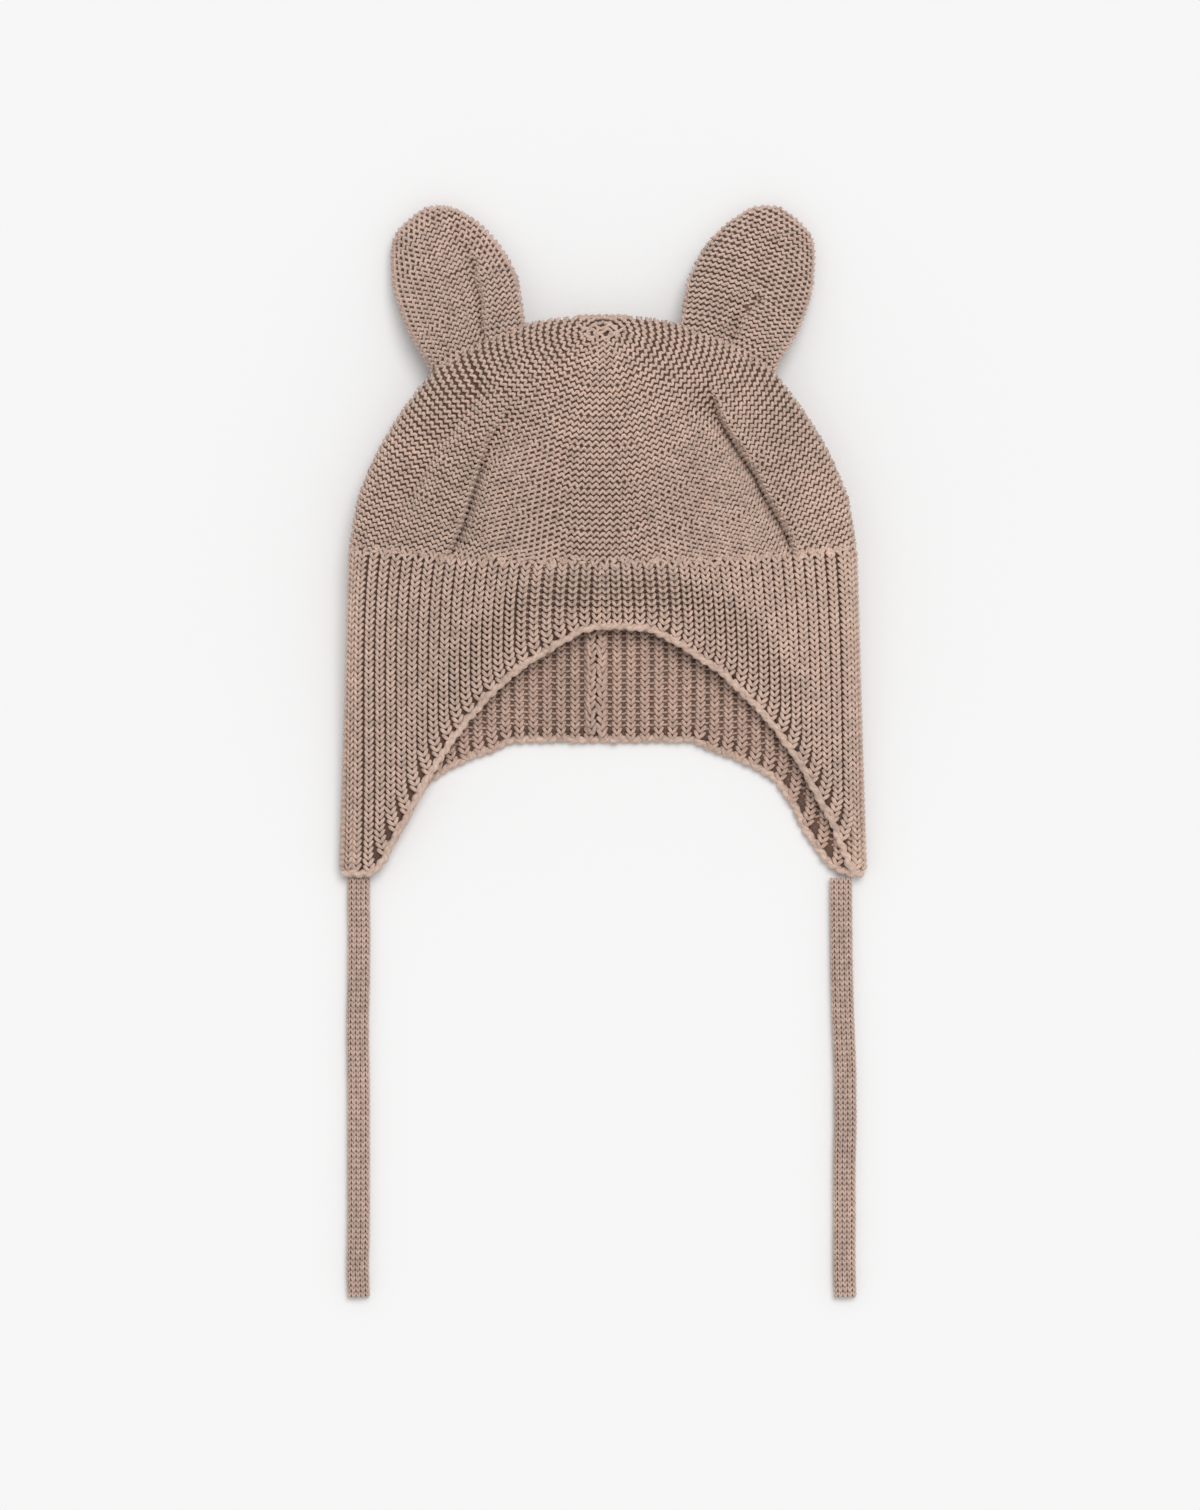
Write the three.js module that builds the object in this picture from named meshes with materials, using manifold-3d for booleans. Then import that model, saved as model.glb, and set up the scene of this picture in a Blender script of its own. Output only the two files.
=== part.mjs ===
// Baby hat with ears, knitted, lying flat on its back with its two ties laid out.
// Millimetres. +X to the wearer's left as the hat is seen from above, +Y to the ears, +Z up
// through the front of the hat. The origin is the middle of the underside, ties left out.
import * as THREE from "three";
import { mergeVertices } from "three/addons/utils/BufferGeometryUtils.js";
import Module from "manifold-3d";

// Sizes of the hat as it lies
const CROWN_WIDTH = 182.6;
const CROWN_HEIGHT = 84.6;
const CROWN_LOFT = 28;
const FLAP_WIDTH = 189.6;
const FLAP_LOFT = 10;
const FLAP_DEPTH = 117.7;
const FRONT_DEPTH = 28.8;
const BACK_DEPTH = 69.5;
const SEAM_SAG = 5.4;
const ARCH_SHIFT = 5.4;
const FOLD_HEIGHT_SHARE = 0.42;

// Knitted wall, ribs and rims
const WALL = 3;
const RIBS = 100;
const RIB_RELIEF = 0.5;
const BEAD_RADIUS = 1.3;
const BACK_SEAM_WIDTH = 7.4;
const BACK_SEAM_THICKNESS = 1.5;
const BACK_SEAM_OFFSET = -2.4;

// Ears
const EAR_LENGTH = 52.2;
const EAR_WIDTH = 44;
const EAR_THICKNESS = 7.5;
const EAR_LEAN = THREE.MathUtils.degToRad(14.4);
const EAR_ROOT = 6;
const EAR_TIP_DROOP = 6.5;

// Ties
const TIE_WIDTH = 9;
const TIE_THICKNESS = 3.6;

// Space between neighbouring pieces, and how finely the soft shapes are faceted
const GAP = 0.3;
const CROWN_COLUMNS = 80;
const BAND_ROWS = 4;
const EAR_SIDES = 24;
const BEAD_SIDES = 5;
const TIE_STEPS = 24;

// Half width of the crown's outline, from the seam up to the top, as shares of its own sizes
const CROWN_OUTLINE = [
  { at: 0, width: 1 },
  { at: 0.119, width: 0.984 },
  { at: 0.221, width: 0.966 },
  { at: 0.323, width: 0.929 },
  { at: 0.426, width: 0.886 },
  { at: 0.528, width: 0.83 },
  { at: 0.63, width: 0.767 },
  { at: 0.732, width: 0.696 },
  { at: 0.817, width: 0.618 },
  { at: 0.881, width: 0.51 },
  { at: 0.936, width: 0.375 },
  { at: 0.979, width: 0.23 },
];

// Folds pressed into the crown's front: ends as shares of its half width and height, and the
// depth and reach as shares of its loft
const CROWN_FOLDS = [
  { x0: -0.406, y0: 0.52, x1: -0.615, y1: 0.02, depth: 0.13, reach: 0.2 },
  { x0: 0.383, y0: 0.65, x1: 0.769, y1: 0.02, depth: 0.13, reach: 0.2 },
  { x0: -0.62, y0: 0.7, x1: -0.84, y1: 0.25, depth: 0.07, reach: 0.33 },
  { x0: 0.04, y0: 0.75, x1: 0.06, y1: 0.1, depth: 0.035, reach: 0.3 },
];

// Lower edges of the band: half width as a share of the flaps' half width, and how far the edge
// has dropped from the middle of the arch or hem to the tips of the flaps
const FRONT_ARCH = [
  { at: 0, drop: 0 },
  { at: 0.114, drop: 0.011 },
  { at: 0.209, drop: 0.061 },
  { at: 0.312, drop: 0.129 },
  { at: 0.403, drop: 0.2 },
  { at: 0.509, drop: 0.31 },
  { at: 0.597, drop: 0.423 },
  { at: 0.689, drop: 0.57 },
  { at: 0.779, drop: 0.739 },
  { at: 0.851, drop: 0.875 },
  { at: 0.905, drop: 0.97 },
  { at: 0.96, drop: 1 },
  { at: 1.1, drop: 1 },
];
const BACK_HEM = [
  { at: 0, drop: 0 },
  { at: 0.34, drop: 0.006 },
  { at: 0.4, drop: 0.052 },
  { at: 0.513, drop: 0.142 },
  { at: 0.602, drop: 0.232 },
  { at: 0.66, drop: 0.322 },
  { at: 0.72, drop: 0.5 },
  { at: 0.771, drop: 0.684 },
  { at: 0.836, drop: 0.866 },
  { at: 0.875, drop: 0.95 },
  { at: 0.93, drop: 0.985 },
  { at: 1.1, drop: 1 },
];

// Outer and inner half widths of an ear from its base to its tip, as shares of its half width
const EAR_OUTLINE = [
  { at: -0.12, outer: 0.86, inner: 0.74 },
  { at: 0, outer: 0.93, inner: 0.82 },
  { at: 0.1, outer: 1.01, inner: 0.84 },
  { at: 0.2, outer: 1.07, inner: 0.87 },
  { at: 0.35, outer: 1.11, inner: 0.89 },
  { at: 0.5, outer: 1.12, inner: 0.83 },
  { at: 0.62, outer: 1.08, inner: 0.74 },
  { at: 0.72, outer: 1.03, inner: 0.62 },
  { at: 0.8, outer: 0.97, inner: 0.5 },
  { at: 0.87, outer: 0.87, inner: 0.36 },
  { at: 0.93, outer: 0.67, inner: 0.22 },
  { at: 0.975, outer: 0.44, inner: 0.03 },
];
const EAR_TIP_OFFSET = 0.26;

// Pinches in the ears: ends across and along the ear, depth and reach as shares of its thickness
const EAR_PINCHES = [
  { x0: 0.1, y0: -0.1, x1: 0.02, y1: 0.5, depth: 0.3, reach: 0.55 },
  { x0: -0.28, y0: -0.1, x1: -0.45, y1: 0.42, depth: 0.16, reach: 0.6 },
  { x0: -0.3, y0: 0.95, x1: -0.2, y1: 0.7, depth: 0.1, reach: 0.6 },
];

// Middle lines of the two ties as they lie, from the flap to the bare end
const LEFT_TIE_ROUTE = [
  [-88.1, -121.5],
  [-88.2, -130.5],
  [-88.0, -140.6],
  [-88.1, -150.6],
  [-88.2, -160.7],
  [-88.5, -170.8],
  [-88.5, -180.9],
  [-88.3, -191.0],
  [-88.2, -201.1],
  [-88.2, -211.1],
  [-88.2, -221.2],
  [-88.2, -231.3],
  [-88.2, -241.4],
  [-88.3, -251.5],
  [-88.6, -261.5],
  [-88.2, -272.3],
];
const RIGHT_TIE_ROUTE = [
  [85.9, -121.5],
  [85.9, -130.5],
  [86.0, -140.6],
  [86.1, -150.6],
  [86.3, -160.7],
  [86.6, -170.8],
  [87.0, -180.9],
  [87.4, -191.0],
  [87.4, -201.1],
  [87.5, -211.1],
  [87.2, -221.2],
  [87.1, -231.3],
  [87.2, -241.4],
  [87.1, -251.5],
  [87.1, -261.5],
  [87.4, -272.3],
];

const CROWN_HALF = CROWN_WIDTH / 2;
const FLAP_HALF = FLAP_WIDTH / 2;
const EAR_HALF = EAR_WIDTH / 2;
const FRONT = 1;
const BACK = -1;

/** Reads a column of a table at a place along its "at" column, on a smooth curve. */
function read(table, column, place) {
  const last = table.length - 1;
  let row = 0;
  while (row < last - 1 && place > table[row + 1].at) {
    row += 1;
  }
  const slope = (i) => {
    const a = table[Math.max(i - 1, 0)];
    const b = table[Math.min(i + 1, last)];
    return (b[column] - a[column]) / (b.at - a.at);
  };
  const span = table[row + 1].at - table[row].at;
  const t = THREE.MathUtils.clamp((place - table[row].at) / span, 0, 1);
  const start = (1 + 2 * t) * (1 - t) ** 2 * table[row][column];
  const end = t * t * (3 - 2 * t) * table[row + 1][column];
  const bend = t * (1 - t) ** 2 * slope(row) - t * t * (1 - t) * slope(row + 1);
  return start + end + bend * span;
}

/** Half of a flattened cross-section, from its middle to its side fold, evenly spaced by arc. */
function halfSection(side, size) {
  const bulge = 2.4;
  const flat = 0.72;
  const steps = 60;
  const points = [];
  for (let i = 0; i <= steps; i += 1) {
    const angle = (i / steps) * (Math.PI / 2);
    if (side === FRONT) {
      const x = size.half * Math.sin(angle) ** (2 / bulge);
      points.push(new THREE.Vector2(x, size.fold + (size.top - size.fold) * Math.cos(angle)));
    } else {
      const x = size.half * (flat + (1 - flat) * Math.sin(angle));
      points.push(new THREE.Vector2(x, size.fold + (size.bottom - size.fold) * Math.cos(angle)));
    }
  }
  if (side === BACK) {
    points.unshift(new THREE.Vector2(0, size.bottom));
  }
  const lengths = [0];
  for (let i = 1; i < points.length; i += 1) {
    lengths.push(lengths[i - 1] + points[i].distanceTo(points[i - 1]));
  }
  const whole = lengths[lengths.length - 1];
  return (share) => {
    const wanted = whole * share;
    let i = 1;
    while (i < points.length - 1 && lengths[i] < wanted) {
      i += 1;
    }
    const t = (wanted - lengths[i - 1]) / (lengths[i] - lengths[i - 1]);
    return points[i - 1].clone().lerp(points[i], t);
  };
}

/** Point of a cross-section at a share from its middle, -1 to 1, on its front or back. */
function sectionPoint(side, share, size) {
  const point = halfSection(side, size)(Math.abs(share));
  point.x *= Math.sign(share);
  return point;
}

/** How deep the folds of a table press in at a place, 0 to 1. */
function pressed(folds, x, y, scaleX, scaleY, unit) {
  let depth = 0;
  for (const fold of folds) {
    const start = new THREE.Vector2(fold.x0 * scaleX, fold.y0 * scaleY);
    const along = new THREE.Vector2(fold.x1 * scaleX, fold.y1 * scaleY).sub(start);
    const offset = new THREE.Vector2(x, y).sub(start);
    const t = THREE.MathUtils.clamp(offset.dot(along) / along.lengthSq(), 0, 1);
    const away = offset.sub(along.clone().multiplyScalar(t)).length() / (fold.reach * unit);
    depth += fold.depth * unit * Math.exp(-away * away);
  }
  return depth;
}

/** Seam between crown and band, measured down from its ends at the side folds. */
function seamDrop(share) {
  return SEAM_SAG * (1 - share * share);
}

/** Sizes of the crown's cross-section at a share of its height, its skin moved out or in. */
function crownSize(height, skin) {
  const top = CROWN_LOFT;
  const fold = CROWN_LOFT * FOLD_HEIGHT_SHARE;
  const half = CROWN_HALF * read(CROWN_OUTLINE, "width", height) + skin;
  const rise = Math.sqrt(1 - height ** 3);
  const fall = Math.sqrt(1 - height ** 8);
  return { half, fold, top: fold + (top + skin - fold) * rise, bottom: fold - (fold + skin) * fall };
}

/** Sizes of the band's cross-section at a share of the flaps' depth, its skin moved in. */
function bandSize(depth, skin) {
  const loft = THREE.MathUtils.lerp(CROWN_LOFT, FLAP_LOFT, THREE.MathUtils.smoothstep(depth, 0, 1));
  const half = THREE.MathUtils.lerp(CROWN_HALF, FLAP_HALF, depth) + skin;
  return { half, fold: loft * FOLD_HEIGHT_SHARE, top: loft + skin, bottom: -skin };
}

/** Columns around the hat: each has a side and a share from the middle to the side fold. */
function columnsAround(count) {
  const columns = [];
  for (let i = 0; i < count; i += 1) {
    const turn = (4 * i) / count;
    if (turn < 1) {
      columns.push({ side: FRONT, share: turn });
    } else if (turn <= 3) {
      columns.push({ side: turn === 1 || turn === 3 ? FRONT : BACK, share: 2 - turn });
    } else {
      columns.push({ side: FRONT, share: turn - 4 });
    }
  }
  return columns;
}

/** Closed mesh from a list of rings of points that touch at their rims, with optional poles. */
function skinned(rings, firstPole, lastPole, closed) {
  const points = rings.flat();
  const across = rings[0].length;
  const faces = [];
  const strips = closed ? rings.length : rings.length - 1;
  for (let r = 0; r < strips; r += 1) {
    const next = (r + 1) % rings.length;
    for (let i = 0; i < across; i += 1) {
      const j = (i + 1) % across;
      const a = r * across + i;
      const b = r * across + j;
      const c = next * across + j;
      const d = next * across + i;
      faces.push(a, b, c, a, c, d);
    }
  }
  if (firstPole) {
    points.push(firstPole);
    for (let i = 0; i < across; i += 1) {
      faces.push(points.length - 1, (i + 1) % across, i);
    }
  }
  if (lastPole) {
    points.push(lastPole);
    const base = (rings.length - 1) * across;
    for (let i = 0; i < across; i += 1) {
      faces.push(base + i, base + ((i + 1) % across), points.length - 1);
    }
  }
  const geometry = new THREE.BufferGeometry();
  geometry.setAttribute("position", new THREE.Float32BufferAttribute(points.flatMap((p) => p.toArray()), 3));
  geometry.setIndex(faces);
  return facedOut(geometry);
}

/** Turns a closed mesh's faces outwards, told by the sign of its volume. */
function facedOut(geometry) {
  const place = geometry.getAttribute("position");
  const index = geometry.getIndex().array;
  const [a, b, c] = [new THREE.Vector3(), new THREE.Vector3(), new THREE.Vector3()];
  let volume = 0;
  for (let i = 0; i < index.length; i += 3) {
    a.fromBufferAttribute(place, index[i]);
    b.fromBufferAttribute(place, index[i + 1]);
    c.fromBufferAttribute(place, index[i + 2]);
    volume += a.dot(b.cross(c));
  }
  if (volume < 0) {
    geometry.setIndex(Array.from(index).reverse());
  }
  geometry.computeVertexNormals();
  return geometry;
}

/** One ring of the crown at a share of its height. */
function crownRing(height, skin, columns, rimLift) {
  const size = crownSize(height, skin);
  return columns.map(({ side, share }) => {
    const point = sectionPoint(side, share, size);
    const across = point.x / size.half;
    const drop = (seamDrop(across) - rimLift) * (1 - height);
    const y = height * (CROWN_HEIGHT + skin) - drop;
    const level = point.y - size.fold;
    const raised = side === FRONT ? THREE.MathUtils.clamp(level / (size.top - size.fold), 0, 1) : 0;
    const free = raised * THREE.MathUtils.smoothstep(height, 0, 0.14);
    const depth = free * pressed(CROWN_FOLDS, point.x, y, CROWN_HALF, CROWN_HEIGHT, CROWN_LOFT);
    return new THREE.Vector3(point.x, y, point.y - depth);
  });
}

/** Rings of the crown from the seam to its top, and the pole that closes it. */
function crownSkin(skin, rimLift) {
  const columns = columnsAround(CROWN_COLUMNS);
  const rings = CROWN_OUTLINE.map((row) => crownRing(row.at, skin, columns, rimLift));
  const pole = new THREE.Vector3(0, CROWN_HEIGHT + skin, CROWN_LOFT * FOLD_HEIGHT_SHARE);
  return { rings, pole };
}

/** The crown: a domed shell, open at the seam. */
function crown() {
  const outer = crownSkin(0, GAP / 2);
  const inner = crownSkin(-WALL, GAP / 2);
  return skinned([...inner.rings.reverse(), ...outer.rings], inner.pole, outer.pole, false);
}

/** A filled crown, swollen by a clearance, used to seat what is sewn onto it. */
function crownMould(clearance) {
  const skin = crownSkin(clearance, 0);
  const middle = new THREE.Vector3(0, -SEAM_SAG, CROWN_LOFT / 2);
  return skinned(skin.rings, middle, skin.pole, false);
}

/** Depth of the hat's lower edge below the side seam, and its slope, at a place across. */
function edgeDepth(side, x) {
  const depthAt = (place) => {
    if (side === FRONT) {
      const away = Math.abs(place - ARCH_SHIFT) / FLAP_HALF;
      return FRONT_DEPTH + (FLAP_DEPTH - FRONT_DEPTH) * read(FRONT_ARCH, "drop", away);
    }
    return BACK_DEPTH + (FLAP_DEPTH - BACK_DEPTH) * read(BACK_HEM, "drop", Math.abs(place) / FLAP_HALF);
  };
  const step = 0.5;
  return { depth: depthAt(x), slope: (depthAt(x + step) - depthAt(x - step)) / (2 * step) };
}

/** Lower rim of the band itself, which leaves room for the bead along the edge. */
function rimDepth(side, x) {
  const edge = edgeDepth(side, x);
  const foldPart = THREE.MathUtils.smoothstep(Math.abs(x) / FLAP_HALF, 0.9, 1);
  const depth = THREE.MathUtils.lerp(edge.depth, FLAP_DEPTH, foldPart);
  const slope = edge.slope * (1 - foldPart);
  return depth - (2 * BEAD_RADIUS + GAP) * Math.hypot(1, slope);
}

/** Point of the band on a column, at a share of the way from the seam down to its rim. */
function bandPoint(column, down, skin, ridge) {
  const { side, share } = column;
  let across = sectionPoint(side, share, bandSize(0, 0)).x / CROWN_HALF;
  let depth = 0;
  let point = null;
  for (let pass = 0; pass < 3; pass += 1) {
    const half = THREE.MathUtils.lerp(CROWN_HALF, FLAP_HALF, depth / FLAP_DEPTH);
    const start = seamDrop(across) + GAP / 2;
    depth = THREE.MathUtils.lerp(start, rimDepth(side, across * half), down);
    const size = bandSize(depth / FLAP_DEPTH, skin);
    point = sectionPoint(side, share, size);
    across = point.x / size.half;
  }
  const size = bandSize(depth / FLAP_DEPTH, skin);
  const middle = new THREE.Vector2(0, size.fold);
  const outward = point.clone().sub(middle);
  outward.x *= (size.top / size.half) ** 2;
  outward.normalize().multiplyScalar(ridge);
  return new THREE.Vector3(point.x + outward.x, -depth, point.y + outward.y);
}

/** Shares of the columns, drawn closer at the side folds and wider at the middle front. */
function ribColumns() {
  const spread = 0.035;
  return columnsAround(2 * RIBS).map(({ side, share }) => ({
    side,
    share: share + (side === FRONT ? spread * Math.sin(Math.PI * share) : 0),
  }));
}

/** The ribbed band with its front arch, back hem and two ear flaps. */
function ribBand() {
  const columns = ribColumns();
  const rows = (skin) => {
    const rings = [];
    for (let row = 0; row <= BAND_ROWS; row += 1) {
      rings.push(
        columns.map((column, i) => {
          const valley = column.side === FRONT ? 2 * RIB_RELIEF : RIB_RELIEF;
          return bandPoint(column, row / BAND_ROWS, skin, i % 2 === 0 ? 0 : -valley);
        }),
      );
    }
    return rings;
  };
  return skinned([...rows(0), ...rows(-WALL).reverse()], null, null, true);
}

/** The bound-off bead that runs all round the lower edge, just below the band's rim. */
function edgeBead() {
  const columns = ribColumns().filter((column, i) => i % 2 === 0);
  const middles = columns.map((column) => {
    const outer = bandPoint(column, 1, 0, -RIB_RELIEF);
    return outer.lerp(bandPoint(column, 1, -WALL, -RIB_RELIEF), 0.5);
  });
  const outside = columns.map((column) => bandPoint(column, 1, 0, 0));
  const count = columns.length;
  const rings = middles.map((middle, i) => {
    const along = middles[(i + 1) % count].clone().sub(middles[(i + count - 1) % count]).normalize();
    const out = outside[i].clone().sub(middle);
    out.addScaledVector(along, -out.dot(along)).normalize();
    const down = new THREE.Vector3().crossVectors(along, out);
    if (down.y > 0) {
      down.negate();
    }
    const centre = middle.clone().addScaledVector(down, BEAD_RADIUS + GAP);
    centre.z = Math.max(centre.z, BEAD_RADIUS + GAP);
    const ring = [];
    for (let side = 0; side < BEAD_SIDES; side += 1) {
      const angle = ((side + 0.5) / BEAD_SIDES) * 2 * Math.PI;
      const spoke = down.clone().multiplyScalar(-Math.cos(angle)).addScaledVector(out, Math.sin(angle));
      ring.push(centre.clone().addScaledVector(spoke, BEAD_RADIUS));
    }
    return ring;
  });
  return skinned(rings, null, null, true);
}

/** The centre-back seam: two ridges side by side on the inside of the band's back. */
function backSeam() {
  const half = BACK_SEAM_WIDTH / 2;
  const low = BACK_SEAM_THICKNESS * 0.45;
  const profile = new THREE.Shape();
  profile.moveTo(-half, 0);
  profile.lineTo(half, 0);
  profile.lineTo(half, low);
  profile.lineTo(half * 0.75, BACK_SEAM_THICKNESS);
  profile.lineTo(half * 0.25, BACK_SEAM_THICKNESS);
  profile.lineTo(0, low);
  profile.lineTo(-half * 0.25, BACK_SEAM_THICKNESS);
  profile.lineTo(-half * 0.75, BACK_SEAM_THICKNESS);
  profile.lineTo(-half, low);
  const length = BACK_DEPTH - SEAM_SAG - GAP;
  const geometry = new THREE.ExtrudeGeometry(profile, { depth: length, bevelEnabled: false, steps: 1 });
  geometry.rotateX(Math.PI / 2);
  geometry.translate(BACK_SEAM_OFFSET, -SEAM_SAG - GAP, WALL + RIB_RELIEF + GAP);
  return geometry;
}

/** One ear, soft and pinched at its base, cut to sit on the crown. The sign picks the side. */
function ear(sign, solidOf, wasmMould) {
  const root = new THREE.Vector3(sign * 0.493 * CROWN_HALF, 0.886 * CROWN_HEIGHT, 0);
  const axis = new THREE.Vector2(sign * Math.sin(EAR_LEAN), Math.cos(EAR_LEAN));
  const cross = new THREE.Vector2(sign * Math.cos(EAR_LEAN), -Math.sin(EAR_LEAN));
  const baseHeight = CROWN_LOFT * FOLD_HEIGHT_SHARE;
  const place = (across, along, height) => {
    const x = root.x + cross.x * across + axis.x * along;
    const y = root.y + cross.y * across + axis.y * along;
    return new THREE.Vector3(x, y, height);
  };
  const levelAt = (at) => {
    const droop = THREE.MathUtils.smoothstep(at, 0, 0.8);
    return Math.max(baseHeight - EAR_TIP_DROOP * droop, EAR_THICKNESS / 2 + GAP);
  };
  const rootShare = -EAR_ROOT / EAR_LENGTH;
  const rings = EAR_OUTLINE.map((row) => {
    const at = row.at < 0 ? rootShare : row.at;
    const outer = EAR_HALF * row.outer;
    const inner = EAR_HALF * row.inner;
    const taper = Math.sqrt(1 - Math.max(at, 0) ** 6);
    const ring = [];
    for (let i = 0; i < EAR_SIDES; i += 1) {
      const angle = (i / EAR_SIDES) * 2 * Math.PI;
      const reach = Math.sign(Math.cos(angle)) * Math.abs(Math.cos(angle)) ** 0.75;
      const across = (outer - inner) / 2 + (reach * (outer + inner)) / 2;
      const rise = Math.sin(angle) * (EAR_THICKNESS / 2) * taper;
      const dent = pressed(EAR_PINCHES, -across / EAR_HALF, at, 1, 1, 1 / 3) * EAR_THICKNESS;
      const height = levelAt(at) + rise - (rise > 0 ? dent * Math.sin(angle) : 0);
      ring.push(place(across, at * EAR_LENGTH, height));
    }
    return ring;
  });
  const blunt = place(0, rootShare * EAR_LENGTH, levelAt(0));
  const tip = place(EAR_TIP_OFFSET * EAR_HALF, EAR_LENGTH, levelAt(1));
  return plain(solidOf(skinned(rings, blunt, tip, false)).subtract(wasmMould));
}

/** A flat knitted tie laid along its route, resting on the surface. */
function tie(route) {
  const points = route.map(([x, y]) => new THREE.Vector3(x, y, TIE_THICKNESS / 2));
  const halfWidth = TIE_WIDTH / 2;
  const halfThickness = TIE_THICKNESS / 2;
  const round = TIE_THICKNESS * 0.3;
  const profile = new THREE.Shape();
  profile.moveTo(halfThickness, round - halfWidth);
  profile.lineTo(halfThickness, halfWidth - round);
  profile.lineTo(halfThickness - round, halfWidth);
  profile.lineTo(round - halfThickness, halfWidth);
  profile.lineTo(-halfThickness, halfWidth - round);
  profile.lineTo(-halfThickness, round - halfWidth);
  profile.lineTo(round - halfThickness, -halfWidth);
  profile.lineTo(halfThickness - round, -halfWidth);
  const extrudePath = new THREE.CatmullRomCurve3(points);
  return new THREE.ExtrudeGeometry(profile, { steps: TIE_STEPS, extrudePath, bevelEnabled: false });
}

const wasm = await Module();
wasm.setup();

/** A closed mesh as a solid that can be cut. */
function solid(geometry) {
  const bare = geometry.clone();
  bare.deleteAttribute("normal");
  bare.deleteAttribute("uv");
  const merged = mergeVertices(bare, 1e-4);
  return new wasm.Manifold(
    new wasm.Mesh({
      numProp: 3,
      vertProperties: new Float32Array(merged.getAttribute("position").array),
      triVerts: new Uint32Array(merged.getIndex().array),
    }),
  );
}

/** A cut solid as a mesh again. */
function plain(body) {
  const mesh = body.getMesh();
  const geometry = new THREE.BufferGeometry();
  geometry.setAttribute("position", new THREE.BufferAttribute(new Float32Array(mesh.vertProperties), 3));
  geometry.setIndex(Array.from(mesh.triVerts));
  geometry.computeVertexNormals();
  return geometry;
}

/** A named piece in a knit of the given colour. */
function piece(name, geometry, color) {
  const yarn = new THREE.MeshStandardMaterial({ color, roughness: 0.95, metalness: 0 });
  const mesh = new THREE.Mesh(geometry, yarn);
  mesh.name = name;
  return mesh;
}

const mould = solid(crownMould(GAP));
const hat = new THREE.Group();
hat.add(
  piece("crown", crown(), 0xa38b7d),
  piece("rib_band", ribBand(), 0x9e8677),
  piece("edge_bead", edgeBead(), 0xa38b7d),
  piece("back_seam", backSeam(), 0x9a8274),
  piece("ear_left", ear(-1, solid, mould), 0xa79083),
  piece("ear_right", ear(1, solid, mould), 0xa79083),
);
const box = new THREE.Box3().setFromObject(hat);
hat.position.y = -(box.min.y + box.max.y) / 2;

const assembly = new THREE.Group();
assembly.add(
  hat,
  piece("tie_left", tie(LEFT_TIE_ROUTE), 0xa99385),
  piece("tie_right", tie(RIGHT_TIE_ROUTE), 0xa99385),
);

export default assembly;
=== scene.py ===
"""A knitted baby hat with two ears and two ties, lying flat on its back, seen from above.

The skins of the crown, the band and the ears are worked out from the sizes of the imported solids,
as grids of points in millimetres. Stitches grow on them by Geometry Nodes: wavy courses on the
purl side of the crown and ears, and V shapes on the ribs and the ties.
"""

import logging
import math
from dataclasses import dataclass, field, replace
from enum import Enum

import bpy
import numpy as np
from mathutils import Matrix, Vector


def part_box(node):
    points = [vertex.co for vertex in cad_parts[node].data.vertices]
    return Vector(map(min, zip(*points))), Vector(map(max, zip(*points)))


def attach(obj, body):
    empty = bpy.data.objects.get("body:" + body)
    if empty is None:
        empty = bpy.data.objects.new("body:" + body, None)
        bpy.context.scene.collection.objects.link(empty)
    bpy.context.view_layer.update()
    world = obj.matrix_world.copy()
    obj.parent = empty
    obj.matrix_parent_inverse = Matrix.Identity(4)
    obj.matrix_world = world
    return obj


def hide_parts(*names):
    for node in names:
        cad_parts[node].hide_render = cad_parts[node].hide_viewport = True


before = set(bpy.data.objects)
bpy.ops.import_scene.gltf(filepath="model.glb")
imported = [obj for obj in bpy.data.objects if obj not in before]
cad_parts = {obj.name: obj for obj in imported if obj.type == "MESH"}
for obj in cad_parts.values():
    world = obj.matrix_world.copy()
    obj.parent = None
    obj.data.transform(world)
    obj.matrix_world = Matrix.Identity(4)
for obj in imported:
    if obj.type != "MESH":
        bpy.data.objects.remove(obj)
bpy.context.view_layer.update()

LOG = logging.getLogger("hat")
MM = 0.001
Columns = dict[str, tuple[float, ...]]

# Half width of the crown's outline from the seam to its top, as shares of its sizes
CROWN_OUTLINE: Columns = {
    "at": (0, 0.119, 0.221, 0.323, 0.426, 0.528, 0.63, 0.732, 0.817, 0.881, 0.936, 0.979, 1),
    "width": (1, 0.984, 0.966, 0.929, 0.886, 0.83, 0.767, 0.696, 0.618, 0.51, 0.375, 0.23, 0.02),
}

# Drop of the lower edges from the middle of the arch or hem to the flaps' tips, as shares
FRONT_ARCH: Columns = {
    "at": (0, 0.114, 0.209, 0.312, 0.403, 0.509, 0.597, 0.689, 0.779, 0.851, 0.905, 0.96, 1.1),
    "drop": (0, 0.011, 0.061, 0.129, 0.2, 0.31, 0.423, 0.57, 0.739, 0.875, 0.97, 1, 1),
}
BACK_HEM: Columns = {
    "at": (0, 0.34, 0.4, 0.513, 0.602, 0.66, 0.72, 0.771, 0.836, 0.875, 0.93, 1.1),
    "drop": (0, 0.006, 0.052, 0.142, 0.232, 0.322, 0.5, 0.684, 0.866, 0.95, 0.985, 1),
}

# Pitch of the ribs of the front in millimetres, from the left fold to the right one
RIB_PITCH: Columns = {
    "at": (-1, -0.4, -0.3, 0.3, 0.4, 1),
    "pitch": (3.9, 3.85, 4.55, 4.55, 3.75, 3.55),
}

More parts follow.
